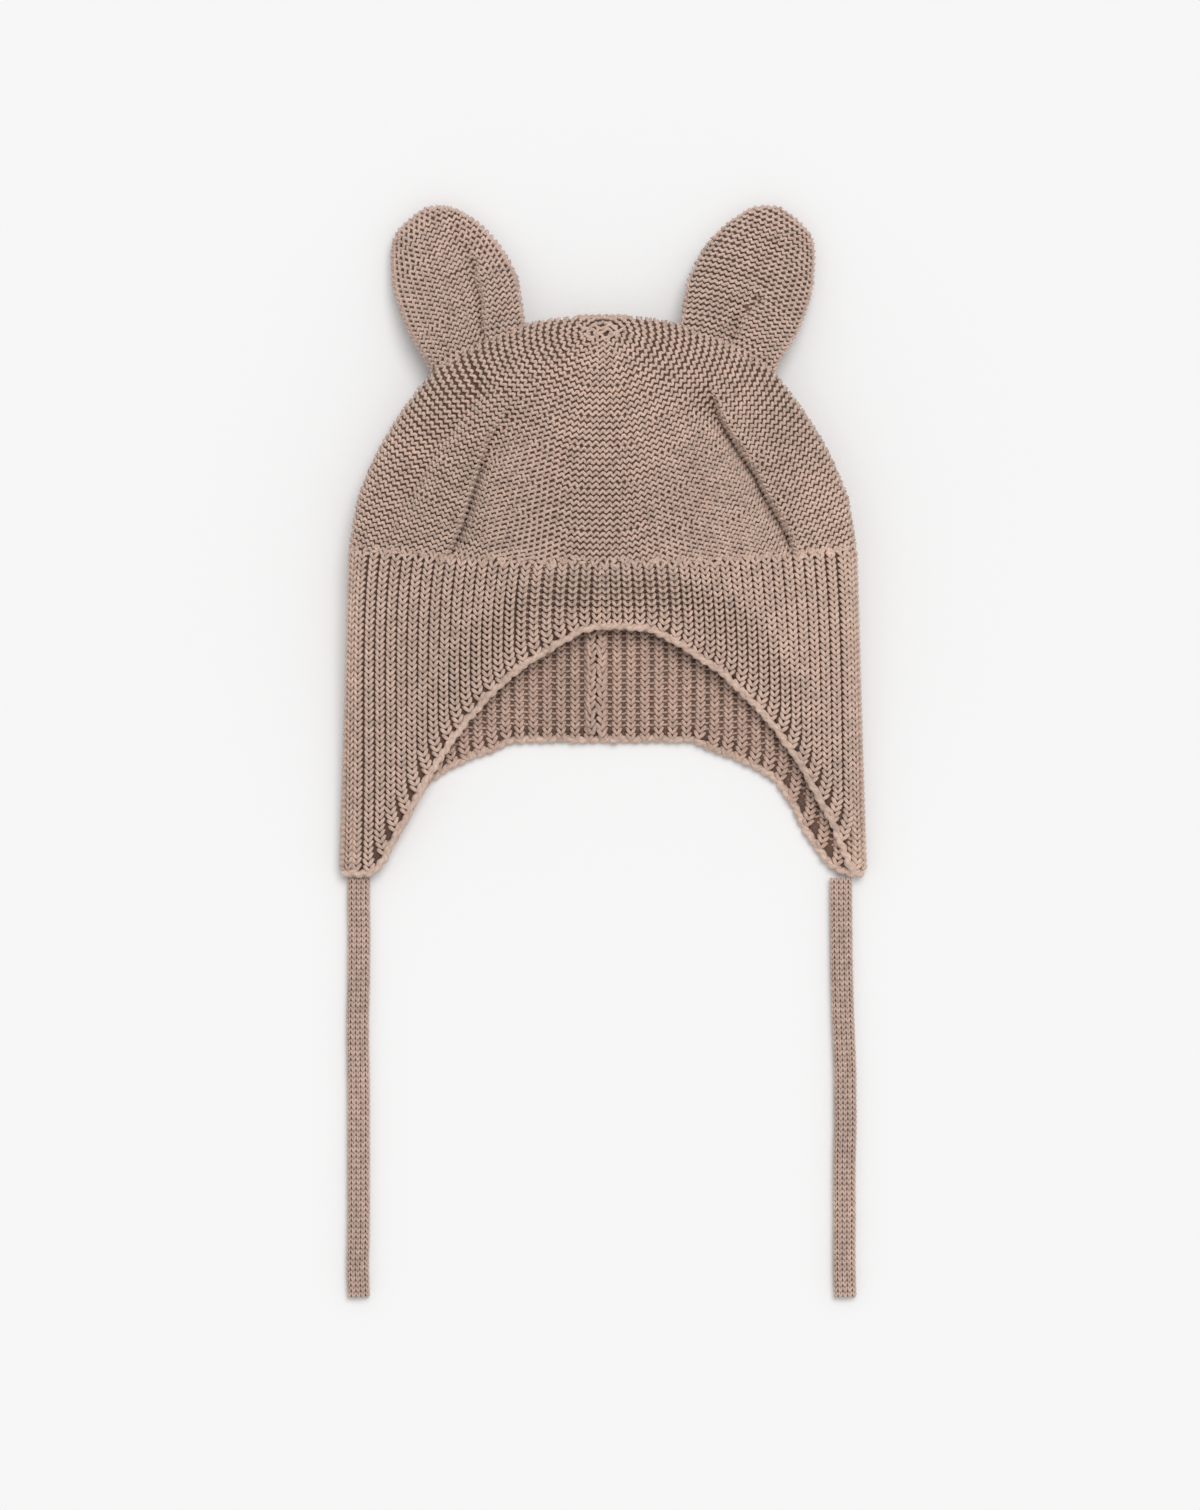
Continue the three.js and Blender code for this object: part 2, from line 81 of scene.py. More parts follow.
# Outer and inner half widths of an ear from its base to its tip, as shares of its half width
EAR_OUTLINE: Columns = {
    "at": (-0.12, 0, 0.1, 0.2, 0.35, 0.5, 0.62, 0.72, 0.8, 0.87, 0.93, 0.975, 1),
    "outer": (0.86, 0.93, 1.01, 1.07, 1.11, 1.12, 1.08, 1.03, 0.97, 0.87, 0.67, 0.44, 0.27),
    "inner": (0.74, 0.82, 0.84, 0.87, 0.89, 0.83, 0.74, 0.62, 0.5, 0.36, 0.22, 0.03, -0.25),
}


class Side(Enum):
    """The two layers of the hat as it lies: the front faces up, the back rests on the floor."""

    FRONT = 1
    BACK = -1


def smoothstep(value: np.ndarray | float, low: float, high: float) -> np.ndarray:
    """Smooth step from 0 at low to 1 at high."""
    t = np.clip((np.asarray(value, float) - low) / (high - low), 0, 1)
    return t * t * (3 - 2 * t)


def smooth_read(table: Columns, column: str, place: np.ndarray | float) -> np.ndarray:
    """Reads a column of a table along its "at" column, on a smooth curve.

    Args:
        table: Columns of equal length, with the places in "at".
        column: Name of the column to read.
        place: Places along "at".

    Returns:
        The values at those places.
    """
    at = np.array(table["at"], float)
    values = np.array(table[column], float)
    before = np.r_[0, np.arange(len(at) - 1)]
    after = np.r_[np.arange(1, len(at)), len(at) - 1]
    slopes = (values[after] - values[before]) / (at[after] - at[before])
    place = np.asarray(place, float)
    row = np.clip(np.searchsorted(at, place) - 1, 0, len(at) - 2)
    span = at[row + 1] - at[row]
    t = np.clip((place - at[row]) / span, 0, 1)
    start = (1 + 2 * t) * (1 - t) ** 2 * values[row]
    end = t * t * (3 - 2 * t) * values[row + 1]
    bend = t * (1 - t) ** 2 * slopes[row] - t * t * (1 - t) * slopes[row + 1]
    return start + end + bend * span


def unit(vectors: np.ndarray) -> np.ndarray:
    """Vectors scaled to length one."""
    return vectors / np.maximum(np.linalg.norm(vectors, axis=-1, keepdims=True), 1e-9)


def arc_lengths(points: np.ndarray) -> np.ndarray:
    """Length along a line of points, from 0 at its first."""
    return np.r_[0, np.cumsum(np.linalg.norm(np.diff(points, axis=0), axis=1))]


def at_lengths(wanted: np.ndarray, arc: np.ndarray, vectors: np.ndarray) -> np.ndarray:
    """Vectors of a line at the wanted lengths along it."""
    return np.stack([np.interp(wanted, arc, vectors[:, k]) for k in range(3)], 1)


def between(grid: np.ndarray, rows: np.ndarray, columns: np.ndarray) -> np.ndarray:
    """Reads a grid between its rows and columns.

    Args:
        grid: A number or a vector for each row and column.
        rows: Places counted in rows.
        columns: Places counted in columns.

    Returns:
        The grid's values at those places.
    """
    r = np.clip(np.floor(rows).astype(int), 0, grid.shape[0] - 2)
    c = np.clip(np.floor(columns).astype(int), 0, grid.shape[1] - 2)
    u, v = rows - r, columns - c
    if grid.ndim == 3:
        u, v = u[..., None], v[..., None]
    low = grid[r, c] * (1 - v) + grid[r, c + 1] * v
    high = grid[r + 1, c] * (1 - v) + grid[r + 1, c + 1] * v
    return low * (1 - u) + high * u


@dataclass
class Section:
    """Flattened cross-section of the hat: a low dome in front, a flat back with round sides."""

    half: np.ndarray
    fold: np.ndarray
    top: np.ndarray
    bottom: np.ndarray
    bulge: float = 2.4
    flat: float = 0.72

    def spread(self, side: Side, shares: np.ndarray) -> tuple[np.ndarray, np.ndarray]:
        """Places on every section, evenly by length from its middle to its side folds.

        Args:
            side: The layer.
            shares: Places from -1 at one fold to 1 at the other.

        Returns:
            Distance across and height, each one row for a section and one column for a share.
        """
        angle = np.linspace(0, math.pi / 2, 181)
        across = np.empty((len(self.half), len(shares)))
        height = np.empty_like(across)
        for i, (half, fold, top, bottom) in enumerate(zip(self.half, self.fold, self.top, self.bottom)):
            if side is Side.FRONT:
                x = half * np.sin(angle) ** (2 / self.bulge)
                z = fold + (top - fold) * np.cos(angle)
            else:
                x = np.r_[0, half * (self.flat + (1 - self.flat) * np.sin(angle))]
                z = np.r_[bottom, fold + (bottom - fold) * np.cos(angle)]
            lengths = arc_lengths(np.stack([x, z], 1))
            wanted = np.abs(shares) * lengths[-1]
            across[i] = np.interp(wanted, lengths, x) * np.sign(shares)
            height[i] = np.interp(wanted, lengths, z)
        return across, height


@dataclass
class Skin:
    """A surface as a grid of points in millimetres, rows along it and columns across it."""

    points: np.ndarray
    normals: np.ndarray

    @classmethod
    def of(cls, points: np.ndarray, inside: np.ndarray) -> "Skin":
        """Makes a skin whose normals point away from the inside of the object.

        Args:
            points: Its grid of points.
            inside: A place inside the object, or one for each point.

        Returns:
            The skin.
        """
        along = np.gradient(points, axis=0)
        across = np.gradient(points, axis=1)
        normals = unit(np.cross(along, across))
        facing = np.einsum("ijk,ijk->ij", normals, points - inside)
        return cls(points, normals * np.sign(np.median(facing)))

    def sample(self, rows: np.ndarray, columns: np.ndarray) -> tuple[np.ndarray, np.ndarray]:
        """Points and normals at places between the rows and columns of the grid."""
        return between(self.points, rows, columns), unit(between(self.normals, rows, columns))

    def moved(self, distance: float) -> np.ndarray:
        """The points, moved out along the normals, and less far where the surface turns away."""
        facing = np.sqrt(np.abs(self.normals[..., 2:3]))
        return self.points + self.normals * distance * (0.5 + 0.5 * facing)


@dataclass(frozen=True)
class Crease:
    """A line pressed into a surface, as a soft valley or as a sharp pleat.

    The line runs through places in the plan. The reaches are the widths of its two flanks, left
    and right as the line is walked from its start. With an overhang, the flank with the shorter
    reach is the edge of a pleat, which stands over the line.
    """

    xs: tuple[float, ...]
    ys: tuple[float, ...]
    depth: float
    left_reach: float
    right_reach: float
    overhang: float = 0.0
    slot: float = 0.0
    slot_reach: float = 1.0
    sets_in: float = 0.3
    fades_in: float = 0.2
    fades_out: float = 0.9
    sharp_span: float = 0.12
    slot_edge: float = 0.3
    push_reach: float = 2.6
    ground_slot: float = 0.8
    ground_reach: float = 1.0

    def scaled(self, across: float, along: float) -> "Crease":
        """The same crease, with its places multiplied by the sizes that they are shares of."""
        return replace(self, xs=tuple(x * across for x in self.xs), ys=tuple(y * along for y in self.ys))

    def near(self, x: np.ndarray, y: np.ndarray) -> tuple[np.ndarray, np.ndarray, np.ndarray]:
        """Finds how places of the plan lie to the line.

        Args:
            x: Places across.
            y: Places along.

        Returns:
            The two steps from the line to each place, and how far along the line it lies.
        """
        nearest = np.full(np.shape(x), np.inf)
        step_x, step_y, along = (np.zeros(np.shape(x)) for _ in range(3))
        count = len(self.xs) - 1
        for i in range(count):
            dx = self.xs[i + 1] - self.xs[i]
            dy = self.ys[i + 1] - self.ys[i]
            t = np.clip(((x - self.xs[i]) * dx + (y - self.ys[i]) * dy) / (dx * dx + dy * dy), 0, 1)
            away_x = x - self.xs[i] - t * dx
            away_y = y - self.ys[i] - t * dy
            away = np.hypot(away_x, away_y)
            closer = away < nearest
            nearest = np.where(closer, away, nearest)
            step_x = np.where(closer, away_x, step_x)
            step_y = np.where(closer, away_y, step_y)
            along = np.where(closer, (i + t) / count, along)
        return step_x, step_y, along

    def folded(
        self, x: np.ndarray, y: np.ndarray, ground: bool
    ) -> tuple[np.ndarray, np.ndarray, np.ndarray]:
        """How the crease moves places of the plan: along the plan's two axes, and down.

        Args:
            x: Places across.
            y: Places along.
            ground: Whether it is for the ground, which lies lower around an overhang.

        Returns:
            The two moves in the plan, and the drop.
        """
        step_x, step_y, along = self.near(x, y)
        away = np.hypot(step_x, step_y)
        run_x, run_y = self.xs[-1] - self.xs[0], self.ys[-1] - self.ys[0]
        left = run_x * step_y - run_y * step_x > 0
        reach = np.where(left, self.left_reach, self.right_reach)
        ends = 1 - 0.5 * smoothstep(along, self.fades_out, 1)
        drop = ends * smoothstep(along, 0, self.fades_in) * self.depth * np.exp(-((away / reach) ** 1.6))
        if not self.overhang:
            return 0 * x, 0 * y, drop
        sharp = ends * smoothstep(along, self.sets_in - self.sharp_span, self.sets_in + self.sharp_span)
        outer = left == (self.left_reach < self.right_reach)
        slot_reach = self.slot_reach * np.where(outer, self.slot_edge, 1)
        if ground:
            wider = np.exp(-((away / (slot_reach + self.ground_reach)) ** 2))
            drop = drop + sharp * (self.slot + self.ground_slot) * wider
            return 0 * x, 0 * y, drop
        drop = drop + sharp * self.slot * np.exp(-((away / slot_reach) ** 2))
        push = np.where(outer, sharp * self.overhang * np.exp(-((away / self.push_reach) ** 2)), 0)
        push = push / np.maximum(away, 1e-6)
        return -step_x * push, -step_y * push, drop


@dataclass(frozen=True)
class Hat:
    """Sizes of the whole hat in millimetres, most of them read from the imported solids."""

    crown_half: float
    crown_top: float
    crown_loft: float
    flap_half: float
    crown_height: float = 84.6
    flap_loft: float = 10.0
    flap_depth: float = 117.7
    front_depth: float = 28.8
    back_depth: float = 69.5
    seam_sag: float = 5.4
    arch_shift: float = 5.4
    fold_share: float = 0.42
    wall: float = 3.0
    bead_radius: float = 1.3
    gap: float = 0.3

    @classmethod
    def from_frame(cls) -> "Hat":
        """Reads the sizes that the boxes of the solids give."""
        crown = np.array(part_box("crown")) / MM
        band = np.array(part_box("rib_band")) / MM
        return cls(crown[1][0], crown[1][1], crown[1][2], band[1][0])

    @property
    def lift(self) -> float:
        """How far the side seams lie from the middle of the box, along Y."""
        return self.crown_top - self.crown_height

    def seam_drop(self, across: np.ndarray) -> np.ndarray:
        """Seam between crown and band, measured down from its ends at the side folds."""
        return self.seam_sag * (1 - across * across)

    def half_at(self, depth: np.ndarray) -> np.ndarray:
        """Half width of the band at a depth below the side seam."""
        return self.crown_half + (self.flap_half - self.crown_half) * depth / self.flap_depth

    def edge_depth(self, side: Side, x: np.ndarray) -> np.ndarray:
        """Depth of the hat's lower edge below the side seam.

        Args:
            side: The layer.
            x: Places across.

        Returns:
            The depths.
        """
        if side is Side.FRONT:
            drop = smooth_read(FRONT_ARCH, "drop", np.abs(x - self.arch_shift) / self.flap_half)
            return self.front_depth + (self.flap_depth - self.front_depth) * drop
        drop = smooth_read(BACK_HEM, "drop", np.abs(x) / self.flap_half)
        return self.back_depth + (self.flap_depth - self.back_depth) * drop

    def rim_depth(self, side: Side, x: np.ndarray) -> np.ndarray:
        """Depth of the band's lower rim, which leaves room for the bead along the edge.

        Args:
            side: The layer.
            x: Places across.

        Returns:
            The depths.
        """
        step = 0.5
        slope = (self.edge_depth(side, x + step) - self.edge_depth(side, x - step)) / (2 * step)
        fold = smoothstep(np.abs(x) / self.flap_half, 0.9, 1)
        depth = self.edge_depth(side, x) * (1 - fold) + self.flap_depth * fold
        return depth - (2 * self.bead_radius + self.gap) * np.hypot(1, slope * (1 - fold))

    def rim_slope(self, side: Side, x: np.ndarray) -> np.ndarray:
        """Slope of the lower rim: the depth that it gains for each millimetre across."""
        return (self.rim_depth(side, x + 1) - self.rim_depth(side, x - 1)) / 2

    def rim_room(self, side: Side, x: np.ndarray, depth: np.ndarray) -> np.ndarray:
        """Distance from places on a layer to its rim, square to the rim."""
        return (self.rim_depth(side, x) - depth) / np.hypot(1, self.rim_slope(side, x))


class TreeBuilder:
    """Adds nodes to a tree and links or sets their inputs in one call."""

    def __init__(
        self,
        name: str,
        kind: str,
        inputs: dict[str, tuple[str, object]],
        outputs: dict[str, str],
    ) -> None:
        """Makes the tree with its named sockets.

        Args:
            name: Name of the tree.
            kind: Blender's type of the tree.
            inputs: Socket type and default of each input.
            outputs: Socket type of each output.
        """
        self.tree = bpy.data.node_groups.new(name, kind)
        for label, (socket, default) in inputs.items():
            item = self.tree.interface.new_socket(label, in_out="INPUT", socket_type=socket)
            if default is not None:
                item.default_value = default
        for label, socket in outputs.items():
            self.tree.interface.new_socket(label, in_out="OUTPUT", socket_type=socket)
        self.given = self.tree.nodes.new("NodeGroupInput").outputs
        self.result = self.tree.nodes.new("NodeGroupOutput").inputs

    def add(
        self, kind: str, inputs: dict[object, object] | None = None, **settings: object
    ) -> bpy.types.Node:
        """Adds a node, with its settings and its inputs, which are values or sockets."""
        return add_node(self.tree, kind, inputs, **settings)

    def math(self, operation: str, *values: object) -> bpy.types.NodeSocket:
        """Result of a Math node."""
        return self.add("ShaderNodeMath", dict(enumerate(values)), operation=operation).outputs[0]

    def vector(self, operation: str, *values: object) -> bpy.types.NodeSocket:
        """Result of a Vector Math node on vectors."""
        return self.add("ShaderNodeVectorMath", dict(enumerate(values)), operation=operation).outputs[0]

    def scaled(self, value: object, factor: object) -> bpy.types.NodeSocket:
        """A vector times a number."""
        node = self.add("ShaderNodeVectorMath", {0: value, "Scale": factor}, operation="SCALE")
        return node.outputs[0]


def add_node(
    tree: bpy.types.NodeTree, kind: str, inputs: dict[object, object] | None = None, **settings: object
) -> bpy.types.Node:
    """Adds a node to a tree.

    Args:
        tree: The tree.
        kind: Blender's type of the node.
        inputs: Value or socket for inputs, by name or number.
        settings: Properties of the node.

    Returns:
        The new node.
    """
    node = tree.nodes.new(kind)
    for key, value in settings.items():
        setattr(node, key, value)
    for key, value in (inputs or {}).items():
        if isinstance(value, bpy.types.NodeSocket):
            tree.links.new(value, node.inputs[key])
        else:
            node.inputs[key].default_value = value
    return node


FLOAT = "NodeSocketFloat"
VECTOR = "NodeSocketVector"
GEOMETRY = "NodeSocketGeometry"


class StitchTrees:
    """Geometry Nodes trees that turn lines and points into knitted yarn.

    A leg of a V runs through three places, as shares of the stitch's width, length and lift.
    """

    LEG = {"Start": (0.4, 0.48, -1.2), "Middle": (0.28, 0.02, 2.2), "End": (0.02, -0.5, -1.1)}
    LEG_TAPER = 0.36
    LEG_TAPER_POWER = 2.4
    SECOND_WAVE = 0.75
    FIRST_LIFT = 0.7
    SHAKE_SCALE = 260.0

    def __init__(self) -> None:
        """Builds the two trees."""
        self.course = self.build_course()
        self.loop = self.build_loop()

    @staticmethod
    def yarn(build: TreeBuilder, curve: object, radius: object, sides: object) -> bpy.types.NodeSocket:
        """Skins a curve as yarn that knows its length and the way round it, for the finish.

        Args:
            build: Builder of the tree.
            curve: The curve's socket.
            radius: Radius of the yarn.
            sides: How many sides the yarn has.

        Returns:
            Socket of the mesh.
        """
        length = build.add("GeometryNodeSplineParameter").outputs["Length"]
        measured = build.add(
            "GeometryNodeStoreNamedAttribute",
            {"Geometry": curve, "Name": "along", "Value": length},
            data_type="FLOAT",
            domain="POINT",
        ).outputs[0]
        circle = build.add("GeometryNodeCurvePrimitiveCircle", {"Resolution": sides, "Radius": radius})
        spoke = build.vector("NORMALIZE", build.add("GeometryNodeInputPosition").outputs[0])
        marked = build.add(
            "GeometryNodeStoreNamedAttribute",
            {"Geometry": circle.outputs[0], "Name": "spoke", "Value": spoke},
            data_type="FLOAT_VECTOR",
            domain="POINT",
        ).outputs[0]
        skinned = build.add(
            "GeometryNodeCurveToMesh", {"Curve": measured, "Profile Curve": marked, "Fill Caps": True}
        )
        return skinned.outputs[0]

    def build_course(self) -> bpy.types.NodeTree:
        """Wavy courses along the edges of a mesh, whose points know the phase of the wave."""
        build = TreeBuilder(
            "knit_course",
            "GeometryNodeTree",
            {
                "Geometry": (GEOMETRY, None),
                "Step": (FLOAT, 0.0004),
                "Yarn radius": (FLOAT, 0.0007),
                "Sides": ("NodeSocketInt", 5),
                "Wave": (FLOAT, 0.0005),
                "Slant": (FLOAT, 0.25),
                "Lift": (FLOAT, 0.0003),
                "Bulge": (FLOAT, 0.0),
                "Unevenness": (FLOAT, 0.0002),
                "Material": ("NodeSocketMaterial", None),
            },
            {"Geometry": GEOMETRY},
        )
        given = build.given
        lines = build.add("GeometryNodeMeshToCurve", {"Mesh": given["Geometry"]}).outputs[0]
        fine = build.add(
            "GeometryNodeResampleCurve", {"Curve": lines, "Length": given["Step"]}, mode="LENGTH"
        ).outputs[0]
        outward = build.add(
            "GeometryNodeInputNamedAttribute", {"Name": "outward"}, data_type="FLOAT_VECTOR"
        ).outputs[0]
        phase = build.add(
            "GeometryNodeInputNamedAttribute", {"Name": "phase"}, data_type="FLOAT"
        ).outputs[0]
        tangent = build.add("GeometryNodeInputTangent").outputs[0]
        sideways = build.vector("NORMALIZE", build.vector("CROSS_PRODUCT", outward, tangent))
        noise = build.add("ShaderNodeTexNoise", {"Scale": self.SHAKE_SCALE, "Detail": 1.0}).outputs["Color"]
        shake = build.scaled(build.vector("SUBTRACT", noise, (0.5, 0.5, 0.5)), given["Unevenness"])
        angle = build.math("MULTIPLY", phase, 2 * math.pi)
        twice = build.math("MULTIPLY", angle, 2.0)
        single = build.math("COSINE", angle)
        double = build.math("MULTIPLY", build.math("COSINE", twice), self.SECOND_WAVE)
        sway = build.math("MULTIPLY_ADD", build.math("SINE", twice), given["Slant"], single)
        wave = build.scaled(sideways, build.math("MULTIPLY", sway, given["Wave"]))
        crest = build.math("MULTIPLY_ADD", single, self.FIRST_LIFT, double)
        lift = build.scaled(outward, build.math("MULTIPLY", crest, given["Lift"]))
        offset = build.vector("ADD", build.vector("ADD", wave, lift), shake)
        waved = build.add("GeometryNodeSetPosition", {"Geometry": fine, "Offset": offset}).outputs[0]
        swell = build.math("MULTIPLY_ADD", build.math("ADD", single, double), given["Bulge"], 1.0)
        sized = build.add("GeometryNodeSetCurveRadius", {"Curve": waved, "Radius": swell}).outputs[0]
        self.finish(build, self.yarn(build, sized, given["Yarn radius"], given["Sides"]))
        return build.tree

    def build_loop(self) -> bpy.types.NodeTree:
        """A V of two legs on each point of a mesh, turned and sized by the point's attributes."""
        build = TreeBuilder(
            "knit_loop",
            "GeometryNodeTree",
            {
                "Geometry": (GEOMETRY, None),
                "Width": (FLOAT, 0.0032),
                "Length": (FLOAT, 0.0022),
                "Lift": (FLOAT, 0.0005),
                "Yarn radius": (FLOAT, 0.0007),
                "Leg steps": ("NodeSocketInt", 3),
                "Sides": ("NodeSocketInt", 5),
                "Tilt": (FLOAT, 0.06),
                "Seed": ("NodeSocketInt", 5),
                "Material": ("NodeSocketMaterial", None),
            },
            {"Geometry": GEOMETRY},
        )
        given = build.given
        size = build.add(
            "ShaderNodeCombineXYZ", {"X": given["Width"], "Y": given["Length"], "Z": given["Lift"]}
        ).outputs[0]
        legs = []
        for hand in (1, -1):
            places = {name: (x * hand, y, z) for name, (x, y, z) in self.LEG.items()}
            leg = build.add(
                "GeometryNodeCurveQuadraticBezier", {"Resolution": given["Leg steps"], **places}
            ).outputs[0]
            shaped = build.add("GeometryNodeTransform", {"Geometry": leg, "Scale": size}).outputs[0]
            share = build.add("GeometryNodeSplineParameter").outputs["Factor"]
            end = build.math("ABSOLUTE", build.math("SUBTRACT", build.math("MULTIPLY", share, 2.0), 1.0))
            thinner = build.math("MULTIPLY", build.math("POWER", end, self.LEG_TAPER_POWER), self.LEG_TAPER)
            taper = build.math("SUBTRACT", 1.0, thinner)
            sized = build.add("GeometryNodeSetCurveRadius", {"Curve": shaped, "Radius": taper}).outputs[0]
            legs.append(self.yarn(build, sized, given["Yarn radius"], given["Sides"]))
        loop = build.add("GeometryNodeJoinGeometry")
        for leg in legs:
            build.tree.links.new(leg, loop.inputs[0])
        vectors = {}
        for name in ("outward", "upward", "size"):
            node = build.add("GeometryNodeInputNamedAttribute", {"Name": name}, data_type="FLOAT_VECTOR")
            vectors[name] = node.outputs[0]
        tilt = build.add(
            "FunctionNodeRandomValue",
            {"Min": (-1.0, -1.0, -1.0), "Max": (1.0, 1.0, 1.0), "Seed": given["Seed"]},
            data_type="FLOAT_VECTOR",
        ).outputs[0]
        upward = build.vector("ADD", vectors["upward"], build.scaled(tilt, given["Tilt"]))
        turn = build.add(
            "FunctionNodeAxesToRotation",
            {"Primary Axis": vectors["outward"], "Secondary Axis": upward},
            primary_axis="Z",
            secondary_axis="Y",
        ).outputs[0]
        placed = build.add(
            "GeometryNodeInstanceOnPoints",
            {
                "Points": given["Geometry"],
                "Instance": loop.outputs[0],
                "Rotation": turn,
                "Scale": vectors["size"],
            },
        )
        self.finish(build, placed.outputs[0])
        return build.tree

    @staticmethod
    def finish(build: TreeBuilder, geometry: bpy.types.NodeSocket) -> None:
        """Makes what a tree grew real, smooth and finished.

        Args:
            build: Builder of the tree.
            geometry: Socket of what it grew.
        """
        real = build.add("GeometryNodeRealizeInstances", {"Geometry": geometry}).outputs[0]
        smooth = build.add("GeometryNodeSetShadeSmooth", {"Geometry": real}).outputs[0]
        dressed = {"Geometry": smooth, "Material": build.given["Material"]}
        done = build.add("GeometryNodeSetMaterial", dressed)
        build.tree.links.new(done.outputs[0], build.result["Geometry"])


@dataclass(frozen=True)
class CourseYarn:
    """How the yarn of a course lies, in millimetres: its steps, thickness, wave and wobble."""

    step: float
    radius: float
    wave: float
    lift: float
    unevenness: float
    bulge: float = 0.0
    slant: float = 0.25
    sides: int = 5

    def inputs(self, material: bpy.types.Material) -> dict[str, object]:
        """Inputs of the course tree, in metres.

        Args:
            material: Finish of the yarn.

        Returns:
            The inputs by name.
        """
        return {
            "Step": self.step * MM,
            "Yarn radius": self.radius * MM,
            "Sides": self.sides,
            "Wave": self.wave * MM,
            "Slant": self.slant,
            "Lift": self.lift * MM,
            "Bulge": self.bulge,
            "Unevenness": self.unevenness * MM,
            "Material": material,
        }


@dataclass(frozen=True)
class LoopYarn:
    """Sizes of a V stitch in millimetres, and how unevenly the stitches lean."""

    width: float
    length: float
    lift: float
    radius: float
    tilt: float = 0.06
    seed: int = 5
    leg_steps: int = 3
    sides: int = 5

    def inputs(self, material: bpy.types.Material) -> dict[str, object]:
        """Inputs of the loop tree, in metres.

        Args:
            material: Finish of the yarn.

        Returns:
            The inputs by name.
        """
        return {
            "Width": self.width * MM,
            "Length": self.length * MM,
            "Lift": self.lift * MM,
            "Yarn radius": self.radius * MM,
            "Leg steps": self.leg_steps,
            "Sides": self.sides,
            "Tilt": self.tilt,
            "Seed": self.seed,
            "Material": material,
        }


def new_object(name: str, mesh: bpy.types.Mesh) -> bpy.types.Object:
    """Adds an object for a mesh to the scene."""
    made = bpy.data.objects.new(name, mesh)
    bpy.context.scene.collection.objects.link(made)
    return made


def grown(
    name: str, host: bpy.types.Mesh, tree: bpy.types.NodeTree, values: dict[str, object]
) -> bpy.types.Object:
    """Grows a tree on a host mesh and keeps the result as a plain mesh.

    Args:
        name: Name of the new object.
        host: Mesh whose points or edges the tree reads.
        tree: The Geometry Nodes tree.
        values: Its inputs by name, in metres.

    Returns:
        An object that holds the plain mesh.
    """
    carrier = new_object(name + "_host", host)
    modifier = carrier.modifiers.new("knit", "NODES")
    modifier.node_group = tree
    for item in tree.interface.items_tree:
        if item.item_type == "SOCKET" and item.in_out == "INPUT" and item.name in values:
            modifier[item.identifier] = values[item.name]
    depsgraph = bpy.context.evaluated_depsgraph_get()
    evaluated = carrier.evaluated_get(depsgraph)
    mesh = bpy.data.meshes.new_from_object(evaluated, preserve_all_data_layers=True, depsgraph=depsgraph)
    mesh.name = name
    bpy.data.objects.remove(carrier)
    bpy.data.meshes.remove(host)
    return new_object(name, mesh)


def store(mesh: bpy.types.Mesh, name: str, kind: str, values: np.ndarray) -> None:
    """Stores one value or vector on each point of a mesh."""
    layer = mesh.attributes.new(name, kind, "POINT")
    layer.data.foreach_set("value" if kind == "FLOAT" else "vector", np.ravel(values).astype(np.float32))


@dataclass
class Strands:
    """Lines that courses follow, in millimetres, with the yarn's wave counted along them."""

    points: list[np.ndarray] = field(default_factory=list)
    normals: list[np.ndarray] = field(default_factory=list)
    phases: list[np.ndarray] = field(default_factory=list)

    def add(self, points: np.ndarray, normals: np.ndarray, phase: np.ndarray) -> None:
        """Adds one open line.

        Args:
            points: Its points.
            normals: The way out of the knit at each of them.
            phase: The count of stitches at each of them.
        """
        self.points.append(points)
        self.normals.append(normals)
        self.phases.append(phase)

    def host(self) -> bpy.types.Mesh:
        """A mesh of loose edges that the course tree can read."""
        edges = []
        start = 0
        for line in self.points:
            rank = np.arange(start, start + len(line) - 1)
            edges.append(np.stack([rank, rank + 1], 1))
            start += len(line)
        mesh = bpy.data.meshes.new("strands")
        places = np.concatenate(self.points) * MM
        mesh.from_pydata(places.tolist(), np.concatenate(edges).tolist(), [])
        store(mesh, "outward", "FLOAT_VECTOR", np.concatenate(self.normals))
        store(mesh, "phase", "FLOAT", np.concatenate(self.phases))
        return mesh


@dataclass
class Loops:
    """Places of V stitches, in millimetres, each with the way out, the way up and its size."""

    points: list[np.ndarray] = field(default_factory=list)
    outward: list[np.ndarray] = field(default_factory=list)
    upward: list[np.ndarray] = field(default_factory=list)
    sizes: list[np.ndarray] = field(default_factory=list)

    def add(self, points: np.ndarray, outward: np.ndarray, upward: np.ndarray, sizes: np.ndarray) -> None:
        """Adds a batch of stitches.

        Args:
            points: Their middles.
            outward: The way out of the knit at each of them.
            upward: The way up its rib.
            sizes: Its width, length and lift, as shares of the tree's.
        """
        if len(points):
            self.points.append(points)
            self.outward.append(outward)
            self.upward.append(upward)
            self.sizes.append(sizes)

    def host(self) -> bpy.types.Mesh:
        """A mesh of loose points that the loop tree can read."""
        mesh = bpy.data.meshes.new("loops")
        mesh.from_pydata((np.concatenate(self.points) * MM).tolist(), [], [])
        store(mesh, "outward", "FLOAT_VECTOR", np.concatenate(self.outward))
        store(mesh, "upward", "FLOAT_VECTOR", np.concatenate(self.upward))
        store(mesh, "size", "FLOAT_VECTOR", np.concatenate(self.sizes))
        return mesh


